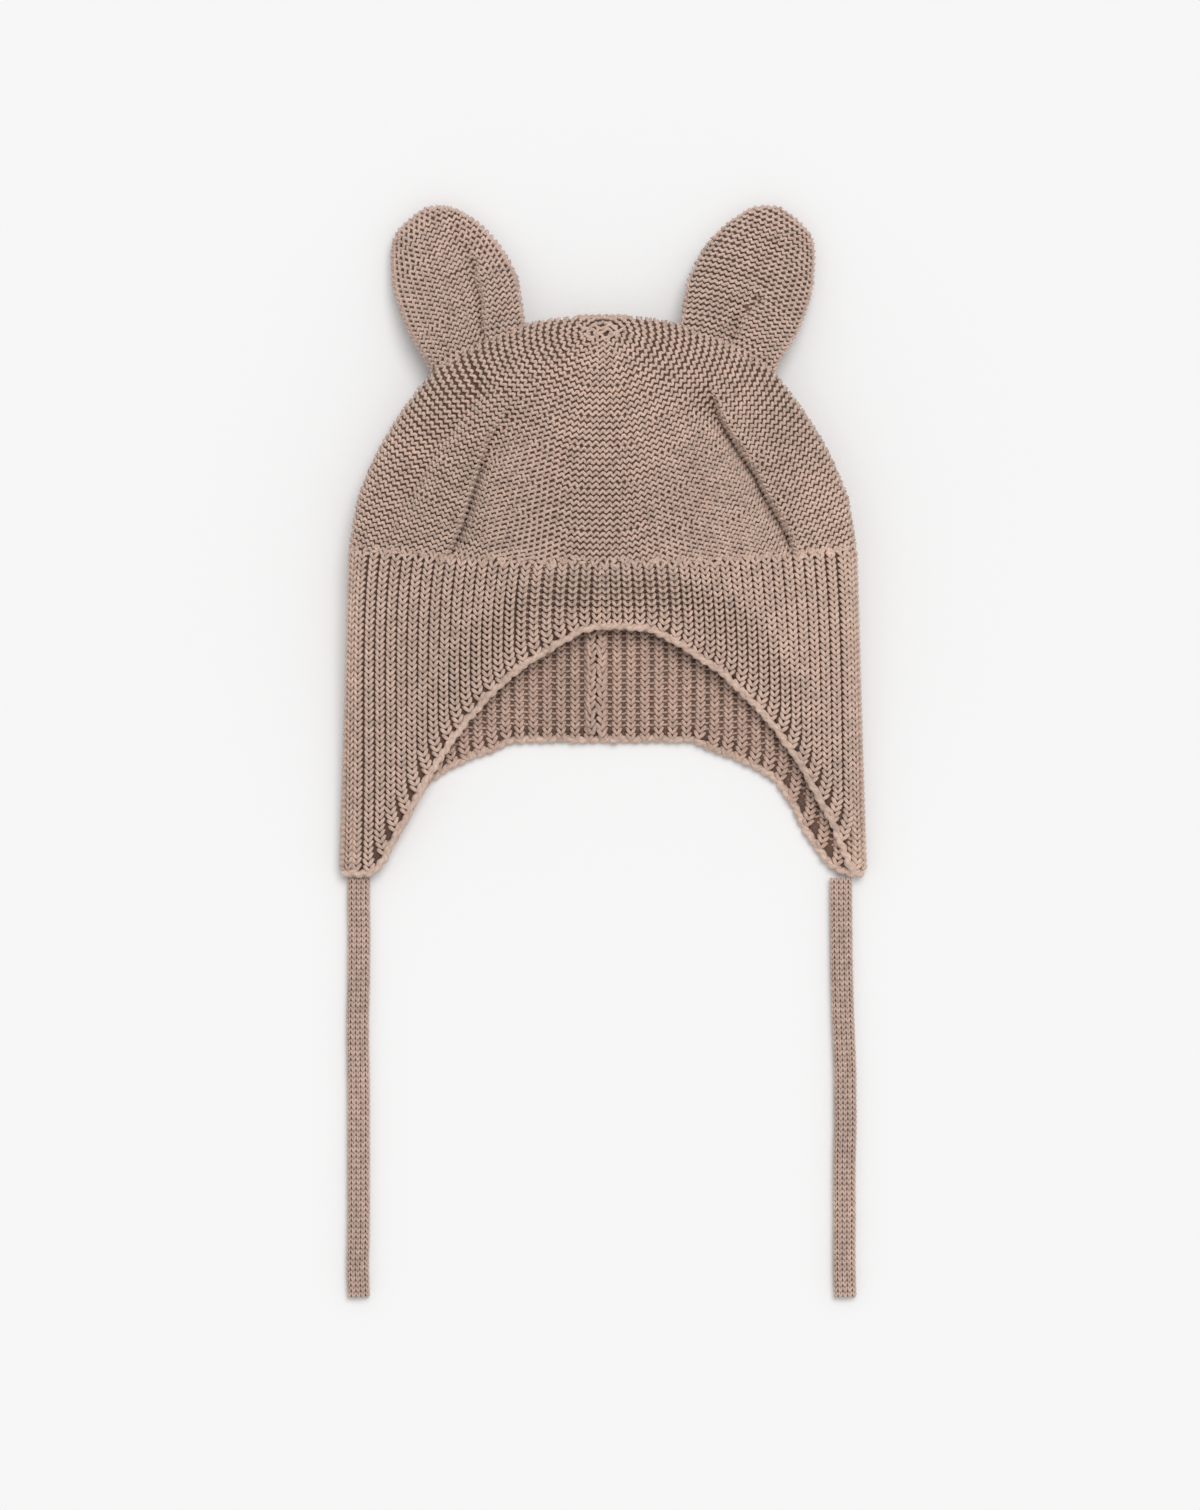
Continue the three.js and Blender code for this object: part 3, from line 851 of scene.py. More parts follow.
def shell(
    name: str, outer: np.ndarray, inner: np.ndarray, tip: tuple[np.ndarray, np.ndarray] | None
) -> bpy.types.Object:
    """A closed wall between two skins whose columns run all round.

    Args:
        name: Name of the object.
        outer: Points of the outer skin, from its open rim to its far rim or tip.
        inner: Points of the inner skin, in the same order.
        tip: Outer and inner pole that close the far end, or None where the far rim is open too.

    Returns:
        The object, with faces that point outwards.
    """
    rows, columns = outer.shape[:2]
    points = np.concatenate([outer.reshape(-1, 3), inner.reshape(-1, 3)])
    inward = rows * columns
    faces = []
    for row in range(rows - 1):
        for i in range(columns):
            j = (i + 1) % columns
            quad = (row * columns + i, row * columns + j, (row + 1) * columns + j, (row + 1) * columns + i)
            faces.append(quad)
            faces.append(tuple(inward + corner for corner in reversed(quad)))
    far = (rows - 1) * columns
    if tip is not None:
        points = np.concatenate([points, [tip[0]], [tip[1]]])
    for i in range(columns):
        j = (i + 1) % columns
        faces.append((j, i, inward + i, inward + j))
        if tip is None:
            faces.append((far + i, far + j, inward + far + j, inward + far + i))
        else:
            faces.append((far + i, far + j, 2 * inward))
            faces.append((inward + far + j, inward + far + i, 2 * inward + 1))
    mesh = bpy.data.meshes.new(name)
    mesh.from_pydata((points * MM).tolist(), [], faces)
    mesh.validate()
    face_outwards(mesh)
    return new_object(name, mesh)


def face_outwards(mesh: bpy.types.Mesh) -> None:
    """Turns a closed mesh's faces outwards, told by the sign of its volume, and smooths them.

    Args:
        mesh: The mesh.
    """
    volume = 0.0
    mesh.calc_loop_triangles()
    for triangle in mesh.loop_triangles:
        a, b, c = (mesh.vertices[k].co for k in triangle.vertices)
        volume += a.dot(b.cross(c))
    if volume < 0:
        mesh.flip_normals()
    mesh.polygons.foreach_set("use_smooth", np.ones(len(mesh.polygons), bool))


def crossings(levels: np.ndarray, heights: np.ndarray) -> tuple[np.ndarray, np.ndarray]:
    """Where levels cross the columns of a field that falls along its rows, and then rises again.

    Args:
        levels: The wanted values.
        heights: The field, one row for each row of a skin.

    Returns:
        Row places of the first and of the second crossing, one row for each level, with NaN
        where a column has none.
    """
    first = np.full((len(levels), heights.shape[1]), np.nan)
    second = np.full_like(first, np.nan)
    for column in range(heights.shape[1]):
        line = heights[:, column]
        low = int(np.argmin(line))
        falling = np.minimum.accumulate(line[: low + 1])[::-1]
        rows = np.arange(low + 1)[::-1]
        first[:, column] = np.interp(levels, falling, rows, left=np.nan, right=np.nan)
        if low < len(line) - 1:
            rising = np.maximum.accumulate(line[low:])
            rows = np.arange(low, len(line))
            second[:, column] = np.interp(levels, rising, rows, left=np.nan, right=np.nan)
    return first, second


def runs(valid: np.ndarray, least: int) -> list[np.ndarray]:
    """Finds the runs of neighbouring columns that are valid.

    Args:
        valid: Whether each column is.
        least: Columns in the shortest run that counts.

    Returns:
        The columns of each run.
    """
    places = np.flatnonzero(valid)
    if not len(places):
        return []
    parts = np.split(places, np.flatnonzero(np.diff(places) > 1) + 1)
    return [part for part in parts if len(part) >= least]


def count_stitches(arc: np.ndarray, marks: np.ndarray, stitch: float) -> np.ndarray:
    """Counts stitches along a course, with a whole number of them from mark to mark.

    Args:
        arc: Length along the course at its points.
        marks: Lengths at which wales keep in line from course to course.
        stitch: Width of a stitch.

    Returns:
        The count at every point, a whole number at every mark.
    """
    if not len(marks):
        return arc / stitch
    counts = np.maximum(np.round(np.diff(marks) / stitch), 1)
    at = np.r_[0, np.cumsum(counts)]
    inside = np.interp(arc, marks, at)
    return inside + np.minimum(arc - marks[0], 0) / stitch + np.maximum(arc - marks[-1], 0) / stitch


def linear(colour: tuple[int, int, int], factor: float = 1.0) -> tuple[float, float, float, float]:
    """Turns a display colour into light.

    Args:
        colour: Red, green and blue from 0 to 255.
        factor: What the light is multiplied by.

    Returns:
        Red, green, blue and a full alpha.
    """
    light = []
    for value in colour:
        share = value / 255
        light.append(factor * (share / 12.92 if share <= 0.04045 else ((share + 0.055) / 1.055) ** 2.4))
    return (*light, 1.0)


class ShadeTrees:
    """Shader node groups that the yarn finishes share."""

    def __init__(self) -> None:
        """Builds the groups."""
        self.ply = self.build_ply()
        self.fibre = self.build_fibre()

    @staticmethod
    def build_ply() -> bpy.types.NodeTree:
        """Grooves between the plies of a twisted yarn, from its length and the way round it."""
        build = TreeBuilder(
            "yarn_ply",
            "ShaderNodeTree",
            {
                "Along": (FLOAT, 0.0),
                "Spoke": (VECTOR, None),
                "Turn": (FLOAT, 0.003),
                "Plies": (FLOAT, 3.0),
            },
            {"Ridge": FLOAT},
        )
        given = build.given
        parts = build.add("ShaderNodeSeparateXYZ", {0: given["Spoke"]}).outputs
        around = build.math("ARCTAN2", parts[1], parts[0])
        turned = build.math("MULTIPLY", build.math("DIVIDE", given["Along"], given["Turn"]), 2 * math.pi)
        plies = build.math("MULTIPLY", around, given["Plies"])
        wave = build.math("SINE", build.math("ADD", plies, turned))
        ridge = build.math("MULTIPLY_ADD", wave, 0.5, 0.5)
        build.tree.links.new(ridge, build.result["Ridge"])
        return build.tree

    @staticmethod
    def build_fibre() -> bpy.types.NodeTree:
        """Mottling of dyed yarn at three scales, and the roughness of its fibres."""
        build = TreeBuilder(
            "yarn_fibre",
            "ShaderNodeTree",
            {
                "Vector": (VECTOR, None),
                "Broad": (FLOAT, 22.0),
                "Stitch": (FLOAT, 330.0),
                "Fine": (FLOAT, 2600.0),
            },
            {"Shade": FLOAT, "Fuzz": FLOAT},
        )
        noises = []
        for name, detail in (("Broad", 2.0), ("Stitch", 1.0), ("Fine", 2.0)):
            inputs = {"Vector": build.given["Vector"], "Scale": build.given[name], "Detail": detail}
            noises.append(build.add("ShaderNodeTexNoise", inputs).outputs["Fac"])
        shade = build.math("MULTIPLY", noises[0], 0.3)
        shade = build.math("MULTIPLY_ADD", noises[1], 0.4, shade)
        shade = build.math("MULTIPLY_ADD", noises[2], 0.3, shade)
        build.tree.links.new(shade, build.result["Shade"])
        build.tree.links.new(noises[2], build.result["Fuzz"])
        return build.tree


@dataclass(frozen=True)
class YarnFinish:
    """Matt cotton yarn: its colour, how uneven the dye is, how rough its fibres stand, and the shade
    painted into the grooves between its plies.
    """

    name: str
    colour: tuple[int, int, int]
    spread: float = 0.55
    ply_depth: float = 0.00012
    fuzz_depth: float = 0.00024
    roughness: float = 0.92
    sheen: float = 0.25
    # How far the colour is darkened in the grooves between the plies: painted shade
    groove_shade: float = 0.3

    def material(self, trees: ShadeTrees) -> bpy.types.Material:
        """Builds the material.

        Args:
            trees: The shared groups.

        Returns:
            The new material.
        """
        made = bpy.data.materials.new(self.name)
        made.use_nodes = True
        tree = made.node_tree
        shader = tree.nodes["Principled BSDF"]
        place = add_node(tree, "ShaderNodeTexCoord").outputs["Object"]
        along = add_node(tree, "ShaderNodeAttribute", attribute_name="along").outputs["Fac"]
        spoke = add_node(tree, "ShaderNodeAttribute", attribute_name="spoke").outputs["Vector"]
        ply = add_node(tree, "ShaderNodeGroup", node_tree=trees.ply)
        tree.links.new(along, ply.inputs["Along"])
        tree.links.new(spoke, ply.inputs["Spoke"])
        fibre = add_node(tree, "ShaderNodeGroup", node_tree=trees.fibre)
        tree.links.new(place, fibre.inputs["Vector"])
        dye = add_node(
            tree,
            "ShaderNodeMapRange",
            {"Value": fibre.outputs["Shade"], "From Min": 0.35, "From Max": 0.65},
        ).outputs[0]
        toned = add_node(
            tree,
            "ShaderNodeMix",
            {
                0: dye,
                6: linear(self.colour, 1 - self.spread / 2),
                7: linear(self.colour, 1 + self.spread / 2),
            },
            data_type="RGBA",
        ).outputs[2]
        # Painted shade: in the grooves between the plies the colour is darkened towards 45 percent of the
        # yarn's, where shade falls.
        painted_groove_shade = add_node(
            tree,
            "ShaderNodeMapRange",
            {"Value": ply.outputs["Ridge"], "From Max": 0.45, "To Min": self.groove_shade, "To Max": 0.0},
        ).outputs[0]
        groove_shaded_colour = add_node(
            tree, "ShaderNodeMix", {0: painted_groove_shade, 6: toned, 7: linear(self.colour, 0.45)}, data_type="RGBA"
        ).outputs[2]
        tree.links.new(groove_shaded_colour, shader.inputs["Base Color"])
        strands = add_node(
            tree,
            "ShaderNodeBump",
            {"Height": ply.outputs["Ridge"], "Distance": self.ply_depth, "Strength": 0.8},
        )
        fibres = add_node(
            tree,
            "ShaderNodeBump",
            {
                "Height": fibre.outputs["Fuzz"],
                "Distance": self.fuzz_depth,
                "Strength": 0.7,
                "Normal": strands.outputs[0],
            },
        )
        tree.links.new(fibres.outputs[0], shader.inputs["Normal"])
        shader.inputs["Roughness"].default_value = self.roughness
        shader.inputs["Sheen Weight"].default_value = self.sheen
        shader.inputs["Sheen Roughness"].default_value = 0.6
        shader.inputs["Specular IOR Level"].default_value = 0.2
        return made


@dataclass
class Workshop:
    """What every piece is made with: sizes of the hat, stitch trees and finishes."""

    hat: Hat
    stitches: StitchTrees
    yarn: bpy.types.Material
    ear_yarn: bpy.types.Material
    # The yarn of the inside, made darker as painted shade
    shaded_inside_yarn: bpy.types.Material
    # The ground's dark brown is painted shade for the gaps between the stitches
    ground: bpy.types.Material
    pieces: list[bpy.types.Object] = field(default_factory=list)

    def knit(
        self, name: str, places: Strands | Loops, yarn: CourseYarn | LoopYarn, finish: bpy.types.Material
    ) -> bpy.types.Object:
        """Grows the yarn of a piece.

        Args:
            name: Name of the piece.
            places: Lines of its courses, or places of its V stitches.
            yarn: How the yarn lies.
            finish: Its material.

        Returns:
            The piece.
        """
        tree = self.stitches.loop if isinstance(places, Loops) else self.stitches.course
        return grown(name, places.host(), tree, yarn.inputs(finish))

    def keep(self, piece: bpy.types.Object, slot: str, *nodes: str) -> None:
        """Makes a finished piece ride on the hat and stand for its solids.

        Args:
            piece: The piece.
            slot: Its material slot; not used.
            nodes: The solids that it replaces.
        """
        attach(piece, "root")
        if nodes:
            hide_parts(*nodes)
        self.pieces.append(piece)
        LOG.info("%s: %d triangles", piece.name, count_triangles(piece))


def count_triangles(piece: bpy.types.Object) -> int:
    """Triangles in a piece's mesh."""
    return sum(len(face.vertices) - 2 for face in piece.data.polygons)


@dataclass
class Crown:
    """The domed top in purl courses that gather at a small eye.

    Sizes are in millimetres. Each squeeze is a share and the places across where it starts and is
    full. Each float of the eye has a shift up from its middle, a left end and a right end.
    """

    shop: Workshop
    row_pitch: float = 2.16
    stitch: float = 2.38
    yarn_radius: float = 0.62
    yarn_sink: float = 0.66
    ground_sink: float = 1.35
    lining_sink: float = 2.3
    eye_height: float = 77.6
    eye_rise: float = 14.0
    eye_reach: float = 54.0
    ellipse: float = 1.45
    gather: float = -0.2
    gather_reach: float = 12.0
    eye_pitch: float = 2.0
    left_squeeze: tuple[float, float, float] = (0.15, 8.0, 45.0)
    right_squeeze: tuple[float, float, float] = (0.2, 4.0, 62.0)
    fan_scale: float = 60.0
    eye_floats: tuple[tuple[float, float, float], ...] = (
        (-1.0, -7.0, 5.0),
        (0.8, -4.0, 8.0),
        (2.4, -9.0, 4.0),
    )
    float_sink: float = 0.4
    float_stitches: float = 2.3
    filler: CourseYarn = CourseYarn(step=0.8, radius=0.95, wave=0.35, lift=0.2, unevenness=1.0)
    filler_sink: float = 2.3
    lumps: LoopYarn = LoopYarn(width=3.3, length=2.4, lift=0.8, radius=0.68, tilt=0.3, seed=9)
    lump_pitch: float = 3.7
    lump_lean: float = 1.3
    lump_shift: tuple[float, float] = (-0.9, 0.7)
    lump_sink: float = 1.0
    top_shares: tuple[float, ...] = (0.0, 0.35, 0.68, 1.0)
    sectors: tuple[float, ...] = (-84, -63, -42, -21, 0, 21, 42, 63, 84)
    columns: int = 320
    rows: int = 200
    top_row: float = 0.035

    def creases(self) -> list[Crease]:
        """Folds pressed into the front, as lines in the plan."""
        hat = self.shop.hat
        return [crease.scaled(hat.crown_half, hat.crown_height) for crease in CROWN_CREASES]

    def skin(self, side: Side, ground: bool = False) -> Skin:
        """Grid over one layer, rows from the seam up to just under the top.

        Args:
            side: The layer.
            ground: Whether it is for the ground, whose pleats are deeper than the yarn's.

        Returns:
            The skin.
        """
        hat = self.shop.hat
        height = 1 - np.linspace(1, self.top_row, self.rows) ** 1.5
        shares = np.linspace(-1, 1, self.columns + 1)
        fold = np.full(self.rows, hat.crown_loft * hat.fold_share)
        half = hat.crown_half * smooth_read(CROWN_OUTLINE, "width", height)
        top = fold + (hat.crown_loft - fold) * np.sqrt(1 - height**3)
        bottom = fold - fold * np.sqrt(1 - height**8)
        x, z = Section(half, fold, top, bottom).spread(side, shares)
        y = height[:, None] * hat.crown_height - hat.seam_drop(x / half[:, None]) * (1 - height[:, None])
        if side is Side.FRONT:
            raised = np.clip((z - fold[:, None]) / (top - fold)[:, None], 0, 1)
            for crease in self.creases():
                move_x, move_y, drop = crease.folded(x, y, ground)
                x, y, z = x + raised * move_x, y + raised * move_y, z - raised * drop
        points = np.stack([x, y + hat.lift, z], -1)
        return Skin.of(points, np.array([0, 0.4 * hat.crown_height, hat.crown_loft / 2]))

    def level(self, side: Side, points: np.ndarray) -> np.ndarray:
        """How far places lie from the eye, counted in the plan."""
        x = points[..., 0]
        rise = self.eye_rise * (1 - smoothstep(np.abs(x), 0, self.eye_reach)) if side is Side.BACK else 0
        away = points[..., 1] - (self.eye_height + rise + self.shop.hat.lift)
        near = np.exp(-((np.hypot(x / 2, away) / (2 * self.gather_reach)) ** 2))
        squeezes = ((-x, self.left_squeeze), (x, self.right_squeeze))
        left, right = (size * smoothstep(way, low, high) for way, (size, low, high) in squeezes)
        tighter = 1 + left + right
        return tighter * np.hypot(x / (self.ellipse + self.gather * near), away)

    def strands(self, side: Side) -> Strands:
        """Courses of one layer, from fold to fold or from fold to seam."""
        skin = self.skin(side)
        field_levels = self.level(side, skin.points)
        steps = round(self.gather_reach / self.eye_pitch)
        eye = np.linspace(0.4, self.gather_reach, steps, endpoint=False)
        levels = np.r_[eye, np.arange(self.gather_reach, field_levels.max(), self.row_pitch)]
        first, second = crossings(levels, field_levels)
        lines = Strands()
        for row in range(len(levels)):
            for part in runs(np.isfinite(first[row]), 4):
                near, far = first[row][part], second[row][part]
                if part[0] > 0 and part[-1] < self.columns and np.isfinite(far).all():
                    paths = [(np.r_[near, far[::-1], near[:1]], np.r_[part, part[::-1], part[:1]])]
                else:
                    paths = [(near, part)]
                    paths += [(far[over], part[over]) for over in runs(np.isfinite(far), 4)]
                for path_rows, path_columns in paths:
                    points, normals = skin.sample(path_rows, path_columns.astype(float))
                    arc = arc_lengths(points)
                    if arc[-1] > 2 * self.stitch:
                        phase = count_stitches(arc, self.marks(points, arc), self.stitch)
                        lines.add(points - normals * self.yarn_sink, normals, phase)
        if side is Side.FRONT:
            self.cross_eye(skin, lines)
            self.cross_top(skin, lines)
        return lines

    def marks(self, points: np.ndarray, arc: np.ndarray) -> np.ndarray:
        """Lengths at which a course crosses the lines that part the crown's sectors.

        The lines run square to the courses, from the seam to the eye, as the lines of decreases do.

        Args:
            points: Points of the course.
            arc: Length along it.

        Returns:
            The lengths at the lines that it crosses.
        """
        scale, bend = self.fan_scale, self.ellipse**2

        def turn(x: np.ndarray, away: np.ndarray) -> np.ndarray:
            """Way round the eye, the same along a line that is square to the courses."""
            return np.arctan2(np.sign(x) * np.abs(x / scale) ** bend, -away / scale)

        way = np.unwrap(turn(points[:, 0], points[:, 1] - self.eye_height - self.shop.hat.lift))
        way = np.maximum.accumulate(way)
        wanted = turn(np.array(self.sectors, float), np.full(len(self.sectors), -self.eye_height))
        found = np.interp(wanted, way, arc, left=np.nan, right=np.nan)
        return found[np.isfinite(found)]

    def cross_eye(self, skin: Skin, lines: Strands) -> None:
        """Adds the long floats that cross the eye, nearly level.

        Args:
            skin: The front skin.
            lines: The strands that they join.
        """
        columns = np.arange(self.columns + 1)
        for shift, left, right in self.eye_floats:
            height = self.eye_height + shift + self.shop.hat.lift
            up = skin.points[..., 1]
            rows = np.array([np.interp(height, up[:, k], np.arange(self.rows)) for k in columns])
            points, normals = skin.sample(rows, columns.astype(float))
            part = np.flatnonzero((points[:, 0] > left) & (points[:, 0] < right))
            arc = arc_lengths(points[part])
            line = (points - normals * self.float_sink)[part]
            lines.add(line, normals[part], arc / (self.float_stitches * self.stitch))

    def cross_top(self, front: Skin, lines: Strands) -> None:
        """Adds the courses that lie along the very top, between the last rows of the two layers.

        Args:
            front: The front skin.
            lines: The strands that they join.
        """
        back = self.skin(Side.BACK)
        room = self.shop.hat.crown_top - front.points[-1, self.columns // 2, 1]
        for share in self.top_shares:
            points = (1 - share) * front.points[-1] + share * back.points[-1]
            points = points + np.array([0, 4 * share * (1 - share) * room, 0])
            outward = (1 - share) * front.normals[-1] + share * back.normals[-1]
            normals = unit(outward + np.array([0, 0.5, 0]))
            lines.add(points - normals * self.yarn_sink, normals, arc_lengths(points) / self.stitch)

    def build(self) -> None:
        """Builds the ground of the crown, its courses and the lumpy row at the seam."""
        shop, hat = self.shop, self.shop.hat
        front, back = self.skin(Side.FRONT), self.skin(Side.BACK)
        step = slice(None, None, 2)
        base = self.skin(Side.FRONT, ground=True)
        walls = []
        for sink in (self.ground_sink, self.lining_sink):
            rows = np.r_[0 : self.rows : 4]
            over = base.moved(-sink)[rows][:, step]
            under = back.moved(-sink)[rows][:, step][:, ::-1]
            walls.append(np.concatenate([over, under[:, 1:-1]], axis=1))
        pole = np.array([0, hat.crown_top, hat.crown_loft * hat.fold_share])
        drop = np.array([0, 1.0, 0])
        tips = (pole - drop * self.ground_sink, pole - drop * self.lining_sink)
        ground = shell("crown_ground", walls[0], walls[1], tips)
        ground.data.materials.append(shop.ground)
        shop.keep(ground, "crown_knit", "crown")
        fine = CourseYarn(
            step=self.stitch / 6, radius=self.yarn_radius, wave=0.6, lift=0.42, unevenness=0.6, bulge=0.1
        )
        plain = replace(fine, step=self.stitch / 4, sides=4)
        faces = (("crown_front_courses", Side.FRONT, fine), ("crown_back_courses", Side.BACK, plain))
        for label, side, yarn in faces:
            shop.keep(shop.knit(label, self.strands(side), yarn, shop.yarn), "crown_knit")
        self.seam_row(front, back)

    def seam_row(self, front: Skin, back: Skin) -> None:
        """Builds the lumpy row where the crown's courses meet the ribs.

        Args:
            front: The front skin.
            back: The back skin.
        """
        shop = self.shop
        chance = np.random.default_rng(7)
        lines, knots = Strands(), Loops()
        for skin in (front, back):
            points, normals = skin.points[1], skin.normals[1]
            arc = arc_lengths(points)
            lines.add(points - normals * self.filler_sink, normals, arc / self.lump_pitch)
            along = unit(np.gradient(points, axis=0))
            picked = np.searchsorted(arc, np.arange(1, arc[-1] - 1, self.lump_pitch))
            lean = chance.uniform(-self.lump_lean, self.lump_lean, len(picked))[:, None]
            upward = np.cross(normals[picked], along[picked])
            shift = chance.uniform(*self.lump_shift, len(picked))[:, None]
            places = points[picked] + upward * shift - normals[picked] * self.lump_sink
            turned = upward * np.cos(lean) + along[picked] * np.sin(lean)
            knots.add(places, normals[picked], turned, np.ones((len(picked), 3)))
        shop.keep(shop.knit("seam_row", lines, self.filler, shop.yarn), "crown_knit")
        shop.keep(shop.knit("seam_knots", knots, self.lumps, shop.yarn), "crown_knit")


@dataclass
class Band:
    """The ribbed band with its arch, hem and flaps, and the bead along its rim.

    Sizes are in millimetres. Each pair of sinks is how deep the two faces of the ground lie. Each
    spread is a share and the depth over which it dies away. The reaches and spans of the inside
    say how much of its far face shows through the arch.
    """

    shop: Workshop
    course: float = 2.16
    loop_width: float = 3.4
    yarn_radius: float = 0.65
    yarn_sink: float = 0.7
    front_sinks: tuple[float, float] = (2.0, 2.6)
    back_sinks: tuple[float, float] = (1.1, 1.7)
    back_ribs: int = 50
    inside_ribs: int = 38
    inside_sink: float = 2.75
    inside_reach: float = 34.0
    inside_span: float = 0.97
    first_row: float = 1.2
    last_room: float = -1.0
    turn_limit: float = 0.27
    turn_reach: tuple[float, float] = (0.5, 5.5)
    turned_wider: float = 0.8
    turned_longer: float = 0.1
    pitch_share: float = 0.9
    pitch_row: int = 30
    first_rung: float = 1.3
    rung_reaches: tuple[float, float] = (0.3, 0.93)
    rung_sinks: tuple[float, float] = (1.3, -0.95)
    rung_room: float = 3.0
    left_spread: tuple[float, float] = (0.038, 16.0)
    right_spread: tuple[float, float] = (0.06, 45.0)
    sag: float = 0.72
    sag_reach: float = 34.0
    sag_fade: tuple[float, float] = (60.0, 91.0)
    sag_start: tuple[float, float] = (2.0, 22.0)
    sag_floor: float = 7.0
    bead_pitch: float = 3.8
    bead_stations: int = 700
    bead_gap: float = 0.1
    bead_lift: float = 0.2
    bead: CourseYarn = CourseYarn(
        step=0.75, radius=1.3, wave=0.3, lift=0.25, unevenness=1.6, bulge=0.28, slant=0.0, sides=7
    )
    rung: CourseYarn = CourseYarn(step=1.0, radius=0.45, wave=0.15, lift=0.0, unevenness=0.5, sides=4)

    def __post_init__(self) -> None:
        """Works out the cross-sections once, for a range of depths."""
        hat = self.shop.hat
        self.depths = np.linspace(0, hat.flap_depth + 6, 120)
        self.shares = np.linspace(-1, 1, 401)
        slimming = smoothstep(self.depths / hat.flap_depth, 0, 1)
        loft = hat.crown_loft + (hat.flap_loft - hat.crown_loft) * slimming
        section = Section(hat.half_at(self.depths), loft * hat.fold_share, loft, 0 * loft)
        self.sections = {side: section.spread(side, self.shares) for side in Side}

    def point(self, side: Side, share: np.ndarray, depth: np.ndarray) -> np.ndarray:
        """Finds points of the outer skin.

        Args:
            side: The layer.
            share: Shares across the section.
            depth: Depths below the side seam.

        Returns:
            The points.
        """
        rows = np.clip(np.asarray(depth, float) / self.depths[1], 0, len(self.depths) - 1.001)
        columns = (np.asarray(share, float) + 1) / 2 * (len(self.shares) - 1)
        columns = np.clip(columns, 0, len(self.shares) - 1.001)
        x, height = (between(grid, rows, columns) for grid in self.sections[side])
        if side is Side.FRONT:
            room = self.shop.hat.rim_depth(side, x) - depth
            limp = (1 - smoothstep(room, 0, self.sag_reach)) * (1 - smoothstep(np.abs(x), *self.sag_fade))
            fall = self.sag * limp * smoothstep(depth, *self.sag_start)
            height = height - fall * np.maximum(height - self.sag_floor, 0)
        return np.stack([x, self.shop.hat.lift - depth, height], -1)

    def frames(
        self, side: Side, share: np.ndarray, depth: np.ndarray
    ) -> tuple[np.ndarray, np.ndarray, np.ndarray]:
        """Points, outward normals and upward directions on the outer skin."""
        inner = np.clip(share, -0.995, 0.995)
        across = self.point(side, inner + 0.005, depth) - self.point(side, inner - 0.005, depth)
        upward = unit(self.point(side, share, depth - 1) - self.point(side, share, depth + 1))
        outward = unit(np.cross(across, upward)) * side.value
        return self.point(side, share, depth), outward, upward

    def share_at(self, side: Side, x: np.ndarray, depth: np.ndarray) -> np.ndarray:
        """Share across the section that lies at a place across."""
        rows = np.clip(np.round(depth / self.depths[1]).astype(int), 0, len(self.depths) - 1)
        across = self.sections[side][0]
        return np.array([np.interp(place, across[row], self.shares) for place, row in zip(x, rows)])

    def flared(self, side: Side, share: np.ndarray, depth: np.ndarray) -> np.ndarray:
        """Shares of a rib down its length: the ribs of the front spread out below the seam."""
        if side is Side.BACK:
            return share * np.ones_like(depth)
        spreads = (self.left_spread, self.right_spread)
        left, right = (size * np.exp(-depth / reach) for size, reach in spreads)
        pulled = np.sqrt(np.abs(np.sin(math.pi * share))) * np.sign(share)
        return share - pulled * np.where(share < 0, left, right)

    def start_depth(self, side: Side, share: np.ndarray) -> np.ndarray:
        """Depth at which the band starts, below the seam."""
        across = self.point(side, share, 0 * share)[..., 0] / self.shop.hat.crown_half
        return self.shop.hat.seam_drop(across) + 0.5 * self.shop.hat.gap

    def column_rim(self, side: Side, share: np.ndarray) -> np.ndarray:
        """Depth at which a column reaches the band's rim."""
        hat = self.shop.hat
        depth = np.full(np.shape(share), hat.front_depth)
        for _ in range(4):
            depth = hat.rim_depth(side, self.point(side, share, depth)[..., 0])
        return depth

    def rib_shares(self, side: Side, inside: bool) -> np.ndarray:
        """Shares of the knit columns, whose pitch in front follows the table of pitches.

        Args:
            side: The layer.
            inside: Whether they are on its inner face.

        Returns:
            The shares, from fold to fold.
        """
        if side is Side.BACK:
            return np.linspace(-1, 1, (self.inside_ribs if inside else self.back_ribs) + 1)
        fine = np.linspace(-1, 1, 2001)
        half = self.sections[side][0][self.pitch_row, -1]
        pitch = np.interp(fine, RIB_PITCH["at"], RIB_PITCH["pitch"])
        passed = np.r_[0, np.cumsum(half * np.diff(fine) / pitch[1:])]
        across = np.interp(np.linspace(0, passed[-1], round(passed[-1]) + 1), passed, fine * half)
        shares = self.share_at(side, across, np.full(len(across), self.depths[self.pitch_row]))
        gaps = np.diff(shares)
        wide = np.flatnonzero(gaps > 1.3 * np.median(gaps))
        return np.sort(np.r_[shares, (shares[wide] + shares[wide + 1]) / 2])

    def ground(self) -> bpy.types.Object:
        """The dense ground of the band, under the stitches of both its faces."""
        down = np.linspace(0, 1, 32)[:, None]
        parts = []
        for side in Side:
            shares = np.linspace(-1, 1, 121)[None, :] * np.ones_like(down)
            start, rim = self.start_depth(side, shares), self.column_rim(side, shares)
            points, outward, _ = self.frames(side, shares, start + (rim - start) * down)
            parts.append((points, outward))
        walls = []
        fold = np.abs(np.linspace(-1, 1, 121)) ** 12
        for front, back in zip(self.front_sinks, self.back_sinks):
            middle = (front + back) / 2
            over = parts[0][0] - parts[0][1] * (front + (middle - front) * fold)[None, :, None]
            under = (parts[1][0] - parts[1][1] * (back + (middle - back) * fold)[None, :, None])[:, ::-1]
            walls.append(np.concatenate([over, under[:, 1:-1]], axis=1))
        return shell("band_ground", walls[0], walls[1], None)

